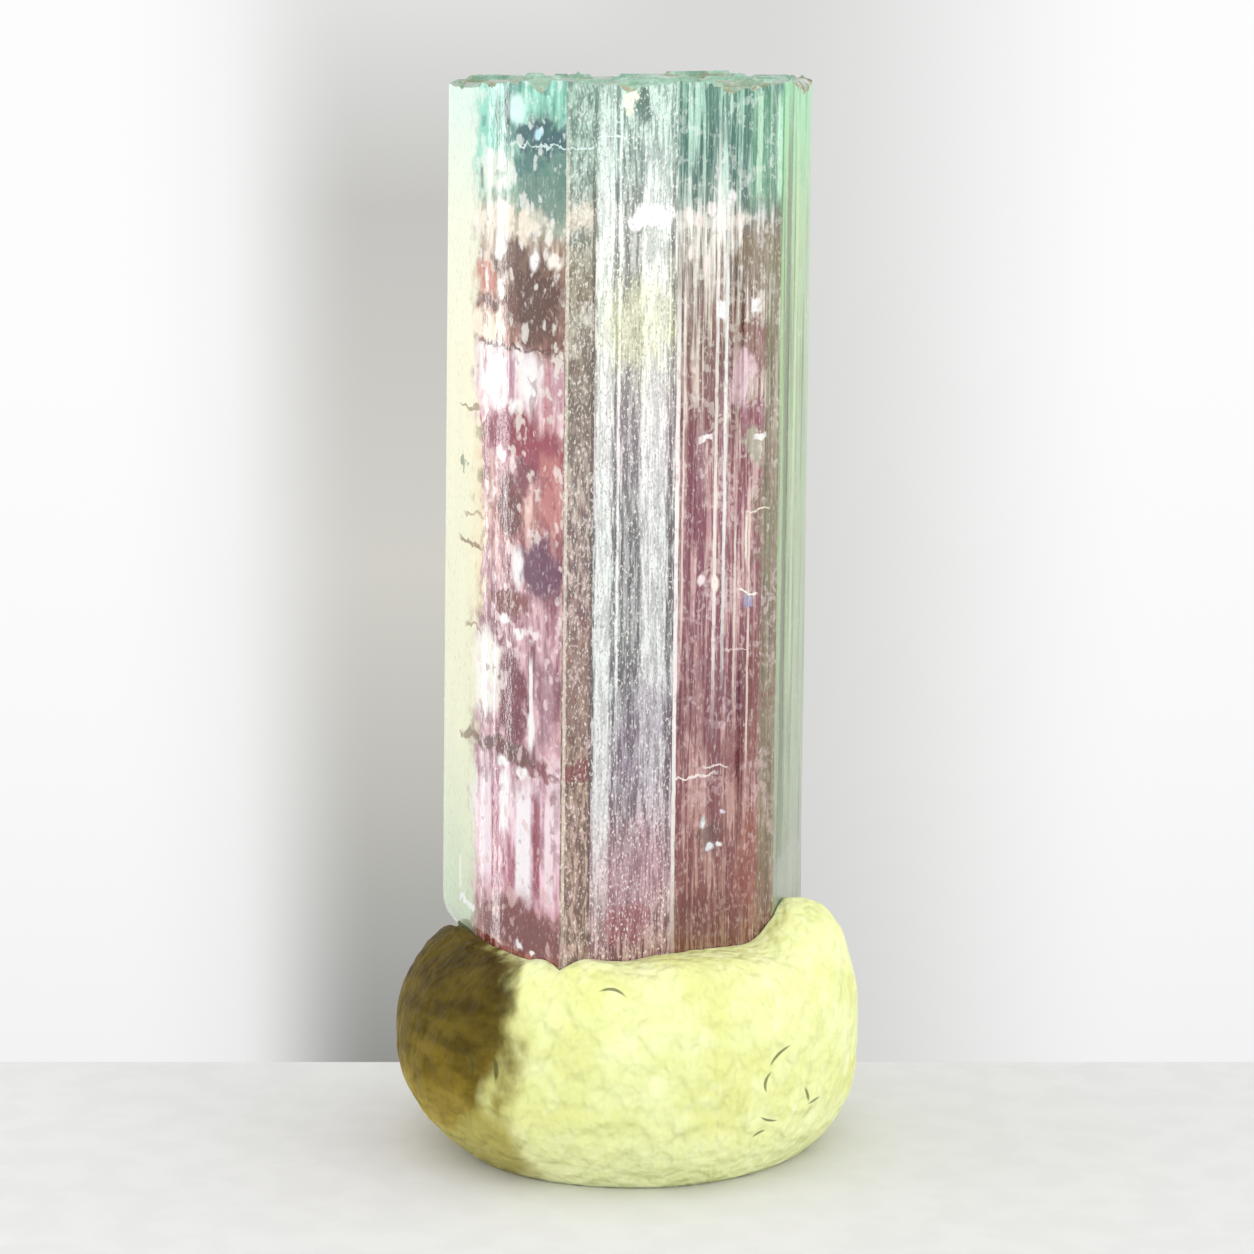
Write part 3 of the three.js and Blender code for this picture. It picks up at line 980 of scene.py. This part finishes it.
@dataclass
class TourmalineCrystal:
    """The crystal's body: a ribbed prism with a broken top and chipped rims."""

    section: CrystalSection
    foot_z: float = 6.2
    foot_slant: float = 0.07  # how much lower the foot is for each millimetre to the right
    foot_drop: float = 0.7  # how much lower the foot is at its left
    foot_left: Pair = (-1.9, -3.9)  # where that drop begins, and is full
    foot_edge: Pair = (0.3, 1.4)  # radius of the foot's edge, and of its left corner
    left_corner: Pair = (-4.0, -4.8)  # where that corner begins, and is full
    seam: float = 0.02  # how deep the line between two faces lies
    long_wave: float = 9.0  # length of the slow waves along a rib
    short_wave: float = 2.6  # length of the quick ones
    rib_seed: float = 7.31  # keeps the waves of two ribs apart
    face_seed: float = 31.7  # keeps the waves of two kinds of face apart
    top_z: float = 32.5
    highest_z: float = 32.69
    spare: float = 1.5  # how far the body reaches past the top before it is broken off
    ledge: float = 0.1  # height of one step in the broken top
    grit: float = 0.02  # height of its fine roughness
    shell: float = 0.05  # height of its shell ripples
    shell_turn: float = 4.5  # how closely they follow each other
    shell_fade: float = 4.0  # distance over which they fade
    blow: Pair = (0.8, -3.2)  # where they run out from
    top_edge: Pair = (0.06, 0.4)  # radius of the top's edge, and at its two ends
    top_ends: Pair = (4.4, 5.2)  # where those ends begin, and are full
    rings: int = 72
    seed: int = 5  # keeps the widths of the ribs the same in each run
    breaker_cells: int = 150  # faces along one side of the slab that the top is broken off with
    breaker_half: float = 6.6  # half of that slab's width
    breaker_z: float = 36.0  # height of its upper side
    crease_deg: float = 9.0
    ior: float = 1.63
    chips: tuple[Chip, ...] = (
        Chip(-2.75, -4.2, 0.9, 0.5, -1.0, 0.38),
        Chip(0.15, -4.5, 0.5, 0.5, 0.5, 0.5),
        Chip(-5.3, 1.2, 0.6, 1.6, -0.25, 0.12),
        Chip(2.9, -3.0, 0.8, 0.4, 0.5, 0.1),
        Chip(4.9, 4.6, 1.1, 0.9, 0.4, 0.45),
        Chip(-2.2, 5.6, 1.5, 0.5, 0.0, 0.4),
    )

    def body(self) -> bpy.types.Mesh:
        """Extrude the section ring by ring and press the ribs into it.

        Returns:
            The body's mesh, with each face numbered by its polish.
        """
        outline = self.section.outline(self.seed)
        bm = bmesh.new()
        rank = bm.verts.layers.int.new("rank")
        corners = []
        for number, point in enumerate(outline):
            vert = bm.verts.new((point.at.x, point.at.y, 0.0))
            vert[rank] = number
            corners.append(vert)
        base = bmesh.ops.contextual_create(bm, geom=corners)["faces"]
        base[0].normal_update()
        if base[0].normal.z < 0:
            bmesh.ops.reverse_faces(bm, faces=base)
        cap = base
        for ring in range(self.rings):
            made = bmesh.ops.extrude_face_region(bm, geom=cap)["geom"]
            if ring > 0:
                bmesh.ops.delete(bm, geom=cap, context="FACES_ONLY")
            cap = [g for g in made if isinstance(g, bmesh.types.BMFace)]
            moved = [g for g in made if isinstance(g, bmesh.types.BMVert)]
            bmesh.ops.translate(bm, vec=(0, 0, 1), verts=moved)
        bmesh.ops.recalc_face_normals(bm, faces=bm.faces)
        for face in bm.faces:
            if len(face.verts) == 4:
                numbers = sorted(vert[rank] for vert in face.verts)
                first = numbers[-1] if numbers[-1] - numbers[0] > 2 else numbers[0]
                face.material_index = outline[first].face.polish.value
            else:
                face.material_index = Polish.BROKEN.value
        for vert in bm.verts:
            vert.co = self.place(outline[vert[rank]], vert.co.z / self.rings)
        return to_mesh(bm, "crystal_body")

    def foot_height(self, x: float) -> float:
        """Give the height of the foot's broken face, which drops at the left."""
        left = eased(share_between(x, *self.foot_left))
        return self.foot_z - self.foot_slant * x - self.foot_drop * left

    def place(self, point: OutlinePoint, share: float) -> Vector:
        """Place one vertex of the body.

        Args:
            point: The outline point that it belongs to.
            share: Its height, 0 at the foot and 1 above the top.

        Returns:
            Where it goes, in millimetres.
        """
        foot = self.foot_height(point.at.x)
        z = foot + (self.top_z + self.spare - foot) * share
        seed = point.rank * self.rib_seed + point.face.polish.value * self.face_seed
        coarse = noise.noise(Vector((seed, z / self.long_wave, 0.0)))
        fine = noise.noise(Vector((seed * 1.7, z / self.short_wave, 5.0)))
        lift = point.face.relief * (1.1 * coarse + 0.35 * fine)
        if point.rank == 0:
            lift = -self.seam
        low, high = self.foot_edge
        radius = low + (high - low) * share_between(point.at.x, *self.left_corner)
        flat = point.at + point.outwards * (lift - rounded_off(z - foot, radius))
        return self.section.lift(flat, z)

    def broken_height(self, x: float, y: float) -> float:
        """Give the height of the broken top above a place.

        Args:
            x: The place across.
            y: The place in depth.

        Returns:
            The height in millimetres.
        """
        steps = bumps(x, y, 0.55, 3.0) + 0.35 * bumps(x, y, 1.7, 9.0)
        z = self.top_z + self.ledge * round(steps * 3.2)
        z += self.grit * bumps(x, y, 4.0, 1.0)
        away = math.hypot(x - self.blow[0], y - self.blow[1])
        z += self.shell * math.sin(away * self.shell_turn) * math.exp(-away / self.shell_fade)
        flat = self.section.unlift(Vector((x, y, self.top_z)))
        low, high = self.top_edge
        radius = low + (high - low) * share_between(abs(flat.x), *self.top_ends)
        z -= rounded_off(self.section.rim_distance(flat.x, flat.y), radius)
        for chip in self.chips:
            away = Matrix.Rotation(-chip.turn, 2) @ Vector((x - chip.x, y - chip.y))
            bowl = 1 - (away.x / chip.reach) ** 2 - (away.y / (chip.reach * chip.stretch)) ** 2
            if bowl > 0:
                ripple = chip.ripple * math.sin(chip.ripple_turn * math.sqrt(bowl))
                z -= chip.depth * (math.sqrt(bowl) + ripple)
        return min(z, self.highest_z)

    def breaker(self) -> bpy.types.Mesh:
        """Make the rough slab that the top is broken off with.

        Returns:
            The slab's mesh.
        """
        bm = bmesh.new()
        cells = self.breaker_cells
        bmesh.ops.create_grid(bm, x_segments=cells, y_segments=cells, size=self.breaker_half)
        upper = set(upper_verts(bm, bm.faces[:]))
        for vert in bm.verts:
            vert.co.z = self.breaker_z if vert in upper else self.broken_height(vert.co.x, vert.co.y)
        bmesh.ops.recalc_face_normals(bm, faces=bm.faces)
        for face in bm.faces:
            face.material_index = Polish.BROKEN.value
        return to_mesh(bm, "breaker")

    def dress(self, polish: Polish) -> bpy.types.Material:
        """Make the finish of one kind of crystal face."""
        skin = SKINS[polish]
        return CrystalPaint(skin.name, self.section).dressed(skin, self.ior)

    def make(self) -> bpy.types.Object:
        """Build the crystal and put it in place of its CAD node.

        Returns:
            The crystal's object.
        """
        body, breaker = self.body(), self.breaker()
        for polish in Polish:
            material = self.dress(polish)
            body.materials.append(material)
            breaker.materials.append(material)
        mesh = cut(body, breaker)
        smooth(mesh, self.crease_deg)
        piece = make_piece("tourmaline_crystal", mesh, "tourmaline")
        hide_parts("crystal")
        return piece


# Sizes of the putty's patterns, in millimetres across, deep and high
KNEADED = (2.0, 2.0, 2.0)  # lighter and darker putty
GRAZE = (0.7, 0.7, 0.5)  # darker places in its skin
GREASE = (0.7, 0.7, 0.9)  # paler, greasy places
SHADE_EDGE = (1.4, 1.4, 2.2)  # waves in the edge of the painted shade on the left
SHADE_STREAK = (1.3, 1.3, 0.5)  # streaks in the painted shade, drawn sideways
FINGER_SKIN = (0.5, 0.5, 0.65)  # dimples that finger skin left, at their real size

# Thumb marks, dents and pits in it: how close they lie, how deep they are, and where their pattern starts
DENTS = ((0.75, 0.05, (0, 0, 0)), (1.9, 0.035, (7, 3, 1)), (4.2, 0.016, (0, 0, 0)))


@dataclass(frozen=True)
class Fibre:
    """A short dark hair caught in the putty's skin, seen from the front."""

    x: float
    z: float
    turn_deg: float
    length: float
    bend: float
    thickness: float = 0.11  # about five times as thick as a real fibre, which would be too fine to show
    front_y: float = 5.5  # how far in front of the middle it lies
    reach: float = 3.0  # how far before and behind that it is drawn

    def laid(self, paint: Painter, colour: Socket) -> Socket:
        """Draw the fibre on the front of the putty, bent into an arc.

        Args:
            paint: The putty's painter.
            colour: The colour under it.

        Returns:
            The colour with the fibre on it.
        """
        middle = (self.x, -self.front_y, self.z)
        turn = (0, math.radians(self.turn_deg), 0)
        own = {"Vector": paint.place, "Location": middle, "Rotation": turn}
        turned = paint.add("Mapping", own, vector_type="TEXTURE")
        along, deep, aside = paint.add("SeparateXYZ", {0: turned}).node.outputs
        arc = paint.add("Math", {0: along, 1: along}, operation="MULTIPLY")
        aside = paint.add("Math", {0: arc, 1: self.bend, 2: aside}, operation="MULTIPLY_ADD")
        near = paint.add("CombineXYZ", {0: along, 1: deep, 2: aside})
        size = (2 / self.length, 1 / self.reach, 2 / self.thickness)
        near = paint.add("VectorMath", {0: near, 1: size}, operation="MULTIPLY")
        away = paint.add("VectorMath", {0: near}, out="Value", operation="LENGTH")
        return paint.coat(colour, "4A4A2A", away, 1.2, 0.7, 0.75)


@dataclass(frozen=True)
class Swelling:
    """A place where the putty's top was pushed up, or down where its lift is negative."""

    x: float
    y: float
    reach: float
    lift: float


@dataclass
class PuttyLump:
    """The rolled lump of putty, squeezed down under the crystal and up beside it."""

    width: float = 14.4
    depth: float = 13.6
    waist_z: float = 3.5
    crown: float = 4.7  # height over the waist before it was pressed
    undercut: float = 4.6  # and under it
    pressed_z: float = 6.8
    press: float = 0.88  # how much of what stood above that was squeezed down
    press_edge: float = 0.5  # how softly that begins
    squareness: Pair = (2.2, 2.75)  # on its left and on its right
    wave: float = 0.07  # how far its outline swells and sinks
    upper: Pair = (0.2, 1.6)  # heights over the waist where swellings begin, and are full
    skin_depth: float = 0.06  # mean depth of its dents
    free_z: float = 0.6  # height under which the table kept it smooth
    rounds: tuple[int, int] = (300, 150)  # faces round it, and from bottom to top
    crease_deg: float = 60.0
    shade_way: Triple = (1.0, 0.12, -0.13)  # the way from the side painted in shade to the lit side
    outer_shade: Pair = (-3.2, -4.5)  # how far along it the painted half shade begins, and is full
    deep_shade: Pair = (-3.5, -4.2)  # and the painted deep shade in it
    gap: float = 0.05  # between the crystal and its socket
    socket_steps: int = 12
    socket_height: float = 6.0
    swellings: tuple[Swelling, ...] = (
        Swelling(5.5, -1.2, 1.6, 1.1),
        Swelling(5.2, 4.2, 2.0, 0.45),
        Swelling(-0.5, 6.4, 2.3, 0.55),
        Swelling(-6.0, -2.4, 2.0, -0.25),
        Swelling(-1.9, -5.6, 1.7, 0.42),
        Swelling(2.4, -5.6, 1.9, 0.2),
    )
    fibres: tuple[Fibre, ...] = (
        Fibre(4.5, 4.1, -38.0, 0.8, 0.5, 0.1),
        Fibre(4.1, 3.35, -75.0, 0.6, 1.1, 0.1),
        Fibre(4.2, 2.1, 25.0, 0.55, -0.7, 0.08),
        Fibre(3.9, 1.75, -20.0, 0.4, 0.8, 0.08),
        Fibre(5.4, 2.6, 75.0, 0.55, 0.3, 0.1),
        Fibre(5.62, 2.33, -12.0, 0.45, 0.4, 0.1),
        Fibre(-4.6, 3.95, 68.0, 0.8, 0.9),
        Fibre(-3.85, 3.85, 88.0, 0.7, 0.3, 0.14),
        Fibre(-0.4, 6.35, 12.0, 0.8, 0.7, 0.08),
    )

    def rolled(self, way: Vector) -> Vector:
        """Give the surface of the lump before it was pressed.

        Args:
            way: A direction from the middle of its waist, one long.

        Returns:
            The place where the surface lies in that direction.
        """
        height = self.crown if way.z > 0 else self.undercut
        flat = math.hypot(way.x / (self.width / 2), way.y / (self.depth / 2))
        tall = abs(way.z) / height
        turn = math.atan2(way.y, way.x)
        low, high = self.squareness
        square = low + (high - low) * (0.5 + 0.5 * math.cos(turn))
        wave = math.sin(3 * turn + 1.1) + 0.6 * math.sin(5 * turn + 2.4 + 2 * way.z)
        place = way * (flat**square + tall**square) ** (-1 / square)
        swell = 1 + self.wave / self.width * 2 * wave
        return Vector((place.x * swell, place.y * swell, place.z))

    def pressed(self, place: Vector) -> Vector:
        """Squeeze the top down, push up what stands beside the crystal, and flatten the foot.

        Args:
            place: A place on the lump before that, measured from its waist.

        Returns:
            Where it goes, measured from the table.
        """
        upper = eased(share_between(place.z, *self.upper))
        z = place.z + self.waist_z
        over = z - self.pressed_z
        z -= self.press * (over + math.hypot(over, self.press_edge)) / 2
        for swelling in self.swellings:
            away = math.hypot(place.x - swelling.x, place.y - swelling.y) / swelling.reach
            z += swelling.lift * upper * math.exp(-(away**4))
        return Vector((place.x, place.y, max(0.0, z)))

    def dimple(self, place: Vector) -> float:
        """Give the depth of thumb marks, smaller dents and skin dimples at a place."""
        return sum(depth * noise.noise(place * per_mm + Vector(start)) for per_mm, depth, start in DENTS)

    def body(self) -> bpy.types.Mesh:
        """Press a ball into the lump's form and dent its skin.

        Returns:
            The lump's mesh, without its socket.
        """
        bm = bmesh.new()
        round_it, up_it = self.rounds
        bmesh.ops.create_uvsphere(bm, u_segments=round_it, v_segments=up_it, radius=1.0)
        for vert in bm.verts:
            vert.co = self.rolled(vert.co.copy())
        across = [vert.co.x for vert in bm.verts]
        along = [vert.co.y for vert in bm.verts]
        wide, deep = max(across) - min(across), max(along) - min(along)
        shift = Vector((max(across) - wide / 2, max(along) - deep / 2, 0))
        for vert in bm.verts:
            flat = vert.co - shift
            flat.x = flat.x * self.width / wide
            flat.y = flat.y * self.depth / deep
            vert.co = self.pressed(flat)
        bm.normal_update()
        for vert in bm.verts:
            free = share_between(vert.co.z, 0.0, self.free_z)
            place = vert.co - vert.normal * (self.skin_depth + self.dimple(vert.co)) * free
            vert.co = (place.x, place.y, max(0.0, place.z))
        return to_mesh(bm, "putty_body")

    def socket(self, crystal: TourmalineCrystal) -> bpy.types.Mesh:
        """Make the plug whose form the crystal's foot left in the putty.

        Args:
            crystal: The crystal that stands in it.

        Returns:
            The plug's mesh.
        """
        section = crystal.section
        bm = bmesh.new()
        rim = []
        for index in range(len(section.faces)):
            for step in range(self.socket_steps):
                at, outwards = section.point(index, step / self.socket_steps)
                floor = crystal.foot_height(at.x) - self.gap
                rim.append(bm.verts.new(section.lift(at + outwards * self.gap, floor)))
        base = bmesh.ops.contextual_create(bm, geom=rim)["faces"]
        bmesh.ops.translate(bm, vec=(0, 0, self.socket_height), verts=upper_verts(bm, base))
        bmesh.ops.recalc_face_normals(bm, faces=bm.faces)
        return to_mesh(bm, "socket")

    def material(self) -> bpy.types.Material:
        """Paint waxy mounting putty that was rolled by hand.

        Wax and filler make it matt and a little translucent, so light spreads under its skin and softens
        the dents. Handling left an olive film of dirt on its left, with darker smears in it.

        Returns:
            The material.
        """
        paint = Painter("mounting_putty_hand_rolled")
        # painted light: paler near the table, lifting the shade on the putty's underside
        skin = paint.by_height(((0.3, "F2F5BE"), (2.4, "D9DD94")), paint.z)
        colour = paint.coat(skin, "E2E7AC", paint.grain(KNEADED, 3.0), 0.35, 0.65)
        colour = paint.coat(colour, "C6C672", paint.grain(GRAZE, 2.0, 12.0), 0.48, 0.28, 0.22)
        colour = paint.coat(colour, "F0F4CC", paint.grain(GREASE, 2.0, 17.0), 0.52, 0.74, 0.35)
        # painted shade: the unlit left side is painted olive, darker towards the top, with darker streaks
        aside = {0: paint.place, 1: self.shade_way}
        side = paint.add("VectorMath", aside, out="Value", operation="DOT_PRODUCT")
        edge = {0: paint.grain(SHADE_EDGE, 4.0, 8.0), 1: 2.2, 2: side}
        edge = paint.add("Math", edge, operation="MULTIPLY_ADD")
        below = paint.add("MapRange", {"Value": paint.z, "From Min": 2.8, "From Max": 0.6, "To Max": 1.5})
        wide = paint.add("Math", {0: edge, 1: below}, operation="SUBTRACT")
        outer_shade = paint.coat(colour, "A09444", wide, *self.outer_shade, 0.85)
        # painted shade colours, darker towards the top
        dark = paint.by_height(((1.0, "A08C3C"), (3.0, "5C4C14"), (5.5, "382C06")), paint.z)
        light = paint.by_height(((1.0, "C4B25C"), (3.0, "7C6A22"), (5.5, "56460E")), paint.z)
        shade_streaks = paint.coat(dark, light, paint.grain(SHADE_STREAK, 4.0, 3.0), 0.3, 0.7)
        narrow = paint.add("Math", {0: edge, 1: below}, operation="ADD")
        colour = paint.coat(outer_shade, shade_streaks, narrow, *self.deep_shade, 0.98)
        for fibre in self.fibres:
            colour = fibre.laid(paint, colour)
        skin = paint.grain(FINGER_SKIN, 1.6, 5.0)
        surface = {
            "Base Color": colour,
            "Roughness": 0.56,
            "Subsurface Weight": 0.25,
            "Subsurface Radius": (1.0, 0.85, 0.25),
            "Subsurface Scale": 0.8 * MM,
            "Specular IOR Level": 0.06,
            "Normal": paint.add("Bump", {"Height": skin, "Distance": 0.36 * MM, "Strength": 1.0}),
        }
        return paint.finish(surface)

    def make(self, crystal: TourmalineCrystal) -> bpy.types.Object:
        """Build the putty and put it in place of its CAD node.

        Args:
            crystal: The crystal that stands in it.

        Returns:
            The putty's object.
        """
        mesh = cut(self.body(), self.socket(crystal))
        smooth(mesh, self.crease_deg)
        piece = make_piece("putty_lump", mesh, "putty", self.material())
        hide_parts("putty_base")
        return piece


@dataclass(frozen=True)
class Softbox:
    """A glowing panel that faces the object; azimuth 0 is in front of it and 90 on its right."""

    name: str
    azimuth_deg: float
    elevation_deg: float
    distance: float
    size: Pair
    power: float


@dataclass
class Studio:
    """A pale table whose back edge lies close behind the object, a bright far wall, light and camera."""

    camera_elevation_deg: float = 10.0
    camera_distance: float = 110.0
    aim_z: float = 16.08
    lens: float = 103.9
    table_half: float = 90.0
    table_edge_y: float = 7.8
    wall_y: float = 150.0
    wall_half_width: float = 600.0
    wall_low: float = -700.0
    wall_high: float = 300.0
    margin: Pair = (8.0, 38.0)  # how far out the wall's bright margin begins, and is full
    shade_x: float = -12.0  # middle of the soft shade on the wall, left of the crystal
    shade: Pair = (17.0, 6.0)  # how far from there it begins, and is full
    world_strength: float = 1.35
    softboxes: tuple[Softbox, ...] = (
        Softbox("key", 54.0, 12.0, 150.0, (46.0, 110.0), 0.05),
        Softbox("fill", -75.0, 16.0, 150.0, (60.0, 80.0), 0.035),
        Softbox("strip", -125.0, -4.0, 120.0, (5.0, 90.0), 0.006),
    )

    def stage(
        self, name: str, low: Vector, wide: Vector, high: Vector, finish: bpy.types.Material
    ) -> None:
        """Lay one flat staged sheet.

        Args:
            name: Its name.
            low: Its first corner.
            wide: The way along its first side.
            high: The way along its second side.
            finish: Its material.
        """
        bm = bmesh.new()
        corners = [bm.verts.new(v) for v in (low, low + wide, low + wide + high, low + high)]
        bmesh.ops.contextual_create(bm, geom=corners)
        mesh = to_mesh(bm, name)
        mesh.materials.append(finish)
        sheet = bpy.data.objects.new(name, mesh)
        bpy.context.scene.collection.objects.link(sheet)

    def table_paper(self) -> bpy.types.Material:
        """Pale matt paper, whose short fibres give it a faint mottle.

        Returns:
            The material.
        """
        paint = Painter("matt_paper")
        fibres = paint.grain((1.5, 1.5, 1.5), 3.0)
        colour = paint.coat("D0D0CF", "D3D3D2", fibres, 0.4, 0.6)
        return paint.finish({"Base Color": colour, "Roughness": 0.9, "Specular IOR Level": 0.2})

    def glowing_wall(self) -> bpy.types.Material:
        """Backlit white cloth, duller in the middle, with the object's soft shade on its left.

        Returns:
            The material, which glows and takes no light.
        """
        paint = Painter("backlit_cloth")
        aside = paint.add("Math", {0: paint.x}, operation="ABSOLUTE")
        plain = paint.by_height(((-46.0, "CDCDCB"), (-20.0, "D6D6D4"), (30.0, "DADAD9")), paint.z)
        margin = paint.by_height(((-46.0, "F2F2F2"), (-20.0, "F9F9F9"), (10.0, "FDFDFD")), paint.z)
        colour = paint.coat(plain, margin, aside, *self.margin)
        tones = (
            (-110.0, "D8D8D7"), (-46.0, "8C8C89"), (-38.0, "A0A09D"), (-23.0, "BEBDB7"),
            (-6.0, "D2D0C9"), (20.0, "C6C5C1"), (34.0, "E0E0DF"),
        )
        shade = paint.by_height(tones, paint.z)
        off = paint.add("Math", {0: paint.x, 1: self.shade_x}, operation="SUBTRACT")
        off = paint.add("Math", {0: off}, operation="ABSOLUTE")
        colour = paint.coat(colour, shade, off, *self.shade)
        dark = {"Base Color": "000000", "Roughness": 1.0, "Specular IOR Level": 0.0}
        return paint.finish(dark | {"Emission Color": colour, "Emission Strength": 1.0})

    def around(self, azimuth_deg: float, elevation_deg: float, distance: float) -> Vector:
        """Find a place round the crystal's middle.

        Args:
            azimuth_deg: Its direction, 0 in front and 90 on the right.
            elevation_deg: How far it stands up from level.
            distance: How far off it is, in millimetres.

        Returns:
            The place, in metres.
        """
        a, e = math.radians(azimuth_deg), math.radians(elevation_deg)
        way = Vector((math.sin(a) * math.cos(e), -math.cos(a) * math.cos(e), math.sin(e)))
        return (way * distance + Vector((0, 0, self.aim_z))) * MM

    def stand(self, thing: bpy.types.Object, place: Vector) -> None:
        """Stand a camera or a lamp at a place and turn it to the crystal's middle.

        Args:
            thing: The camera or the lamp.
            place: Where it stands, in metres.
        """
        thing.location = place
        aim = Vector((0, 0, self.aim_z * MM)) - place
        thing.rotation_euler = aim.to_track_quat("-Z", "Y").to_euler()
        bpy.context.scene.collection.objects.link(thing)

    def place_camera(self) -> None:
        """Stand the camera where the photograph was taken from."""
        camera = bpy.data.objects.new("camera", bpy.data.cameras.new("camera"))
        camera.data.lens = self.lens
        camera.data.sensor_width = 36.0
        camera.data.clip_start = 0.001
        camera.data.clip_end = 10.0
        self.stand(camera, self.around(0, self.camera_elevation_deg, self.camera_distance))
        bpy.context.scene.camera = camera

    def place_lights(self) -> None:
        """Stand the softboxes round the object and light the room."""
        for box in self.softboxes:
            lamp = bpy.data.objects.new(box.name, bpy.data.lights.new(box.name, "AREA"))
            lamp.data.shape = "RECTANGLE"
            lamp.data.size, lamp.data.size_y = (side * MM for side in box.size)
            lamp.data.energy = box.power
            self.stand(lamp, self.around(box.azimuth_deg, box.elevation_deg, box.distance))
        world = bpy.data.worlds.new("room")
        world.use_nodes = True
        background = world.node_tree.nodes["Background"]
        background.inputs["Color"].default_value = linear("FFFFFF")
        background.inputs["Strength"].default_value = self.world_strength
        bpy.context.scene.world = world

    def make(self) -> None:
        """Set up everything round the object."""
        half = self.table_half
        corner = Vector((-half, -half, 0))
        wide = Vector((2 * half, 0, 0))
        deep = Vector((0, half + self.table_edge_y, 0))
        self.stage("table", corner, wide, deep, self.table_paper())
        corner = Vector((-self.wall_half_width, self.wall_y, self.wall_low))
        wide = Vector((2 * self.wall_half_width, 0, 0))
        high = Vector((0, 0, self.wall_high - self.wall_low))
        self.stage("wall", corner, wide, high, self.glowing_wall())
        self.place_camera()
        self.place_lights()
        bpy.context.scene.view_settings.view_transform = "Standard"


def main() -> None:
    """Build the studio and the pieces, and log each piece's face count."""
    logging.basicConfig(level=logging.INFO, format="%(name)s: %(message)s")
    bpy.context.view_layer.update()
    crystal = TourmalineCrystal(CrystalSection())
    Studio().make()
    crystal.make()
    PuttyLump().make(crystal)


if __name__ == "__main__":
    main()
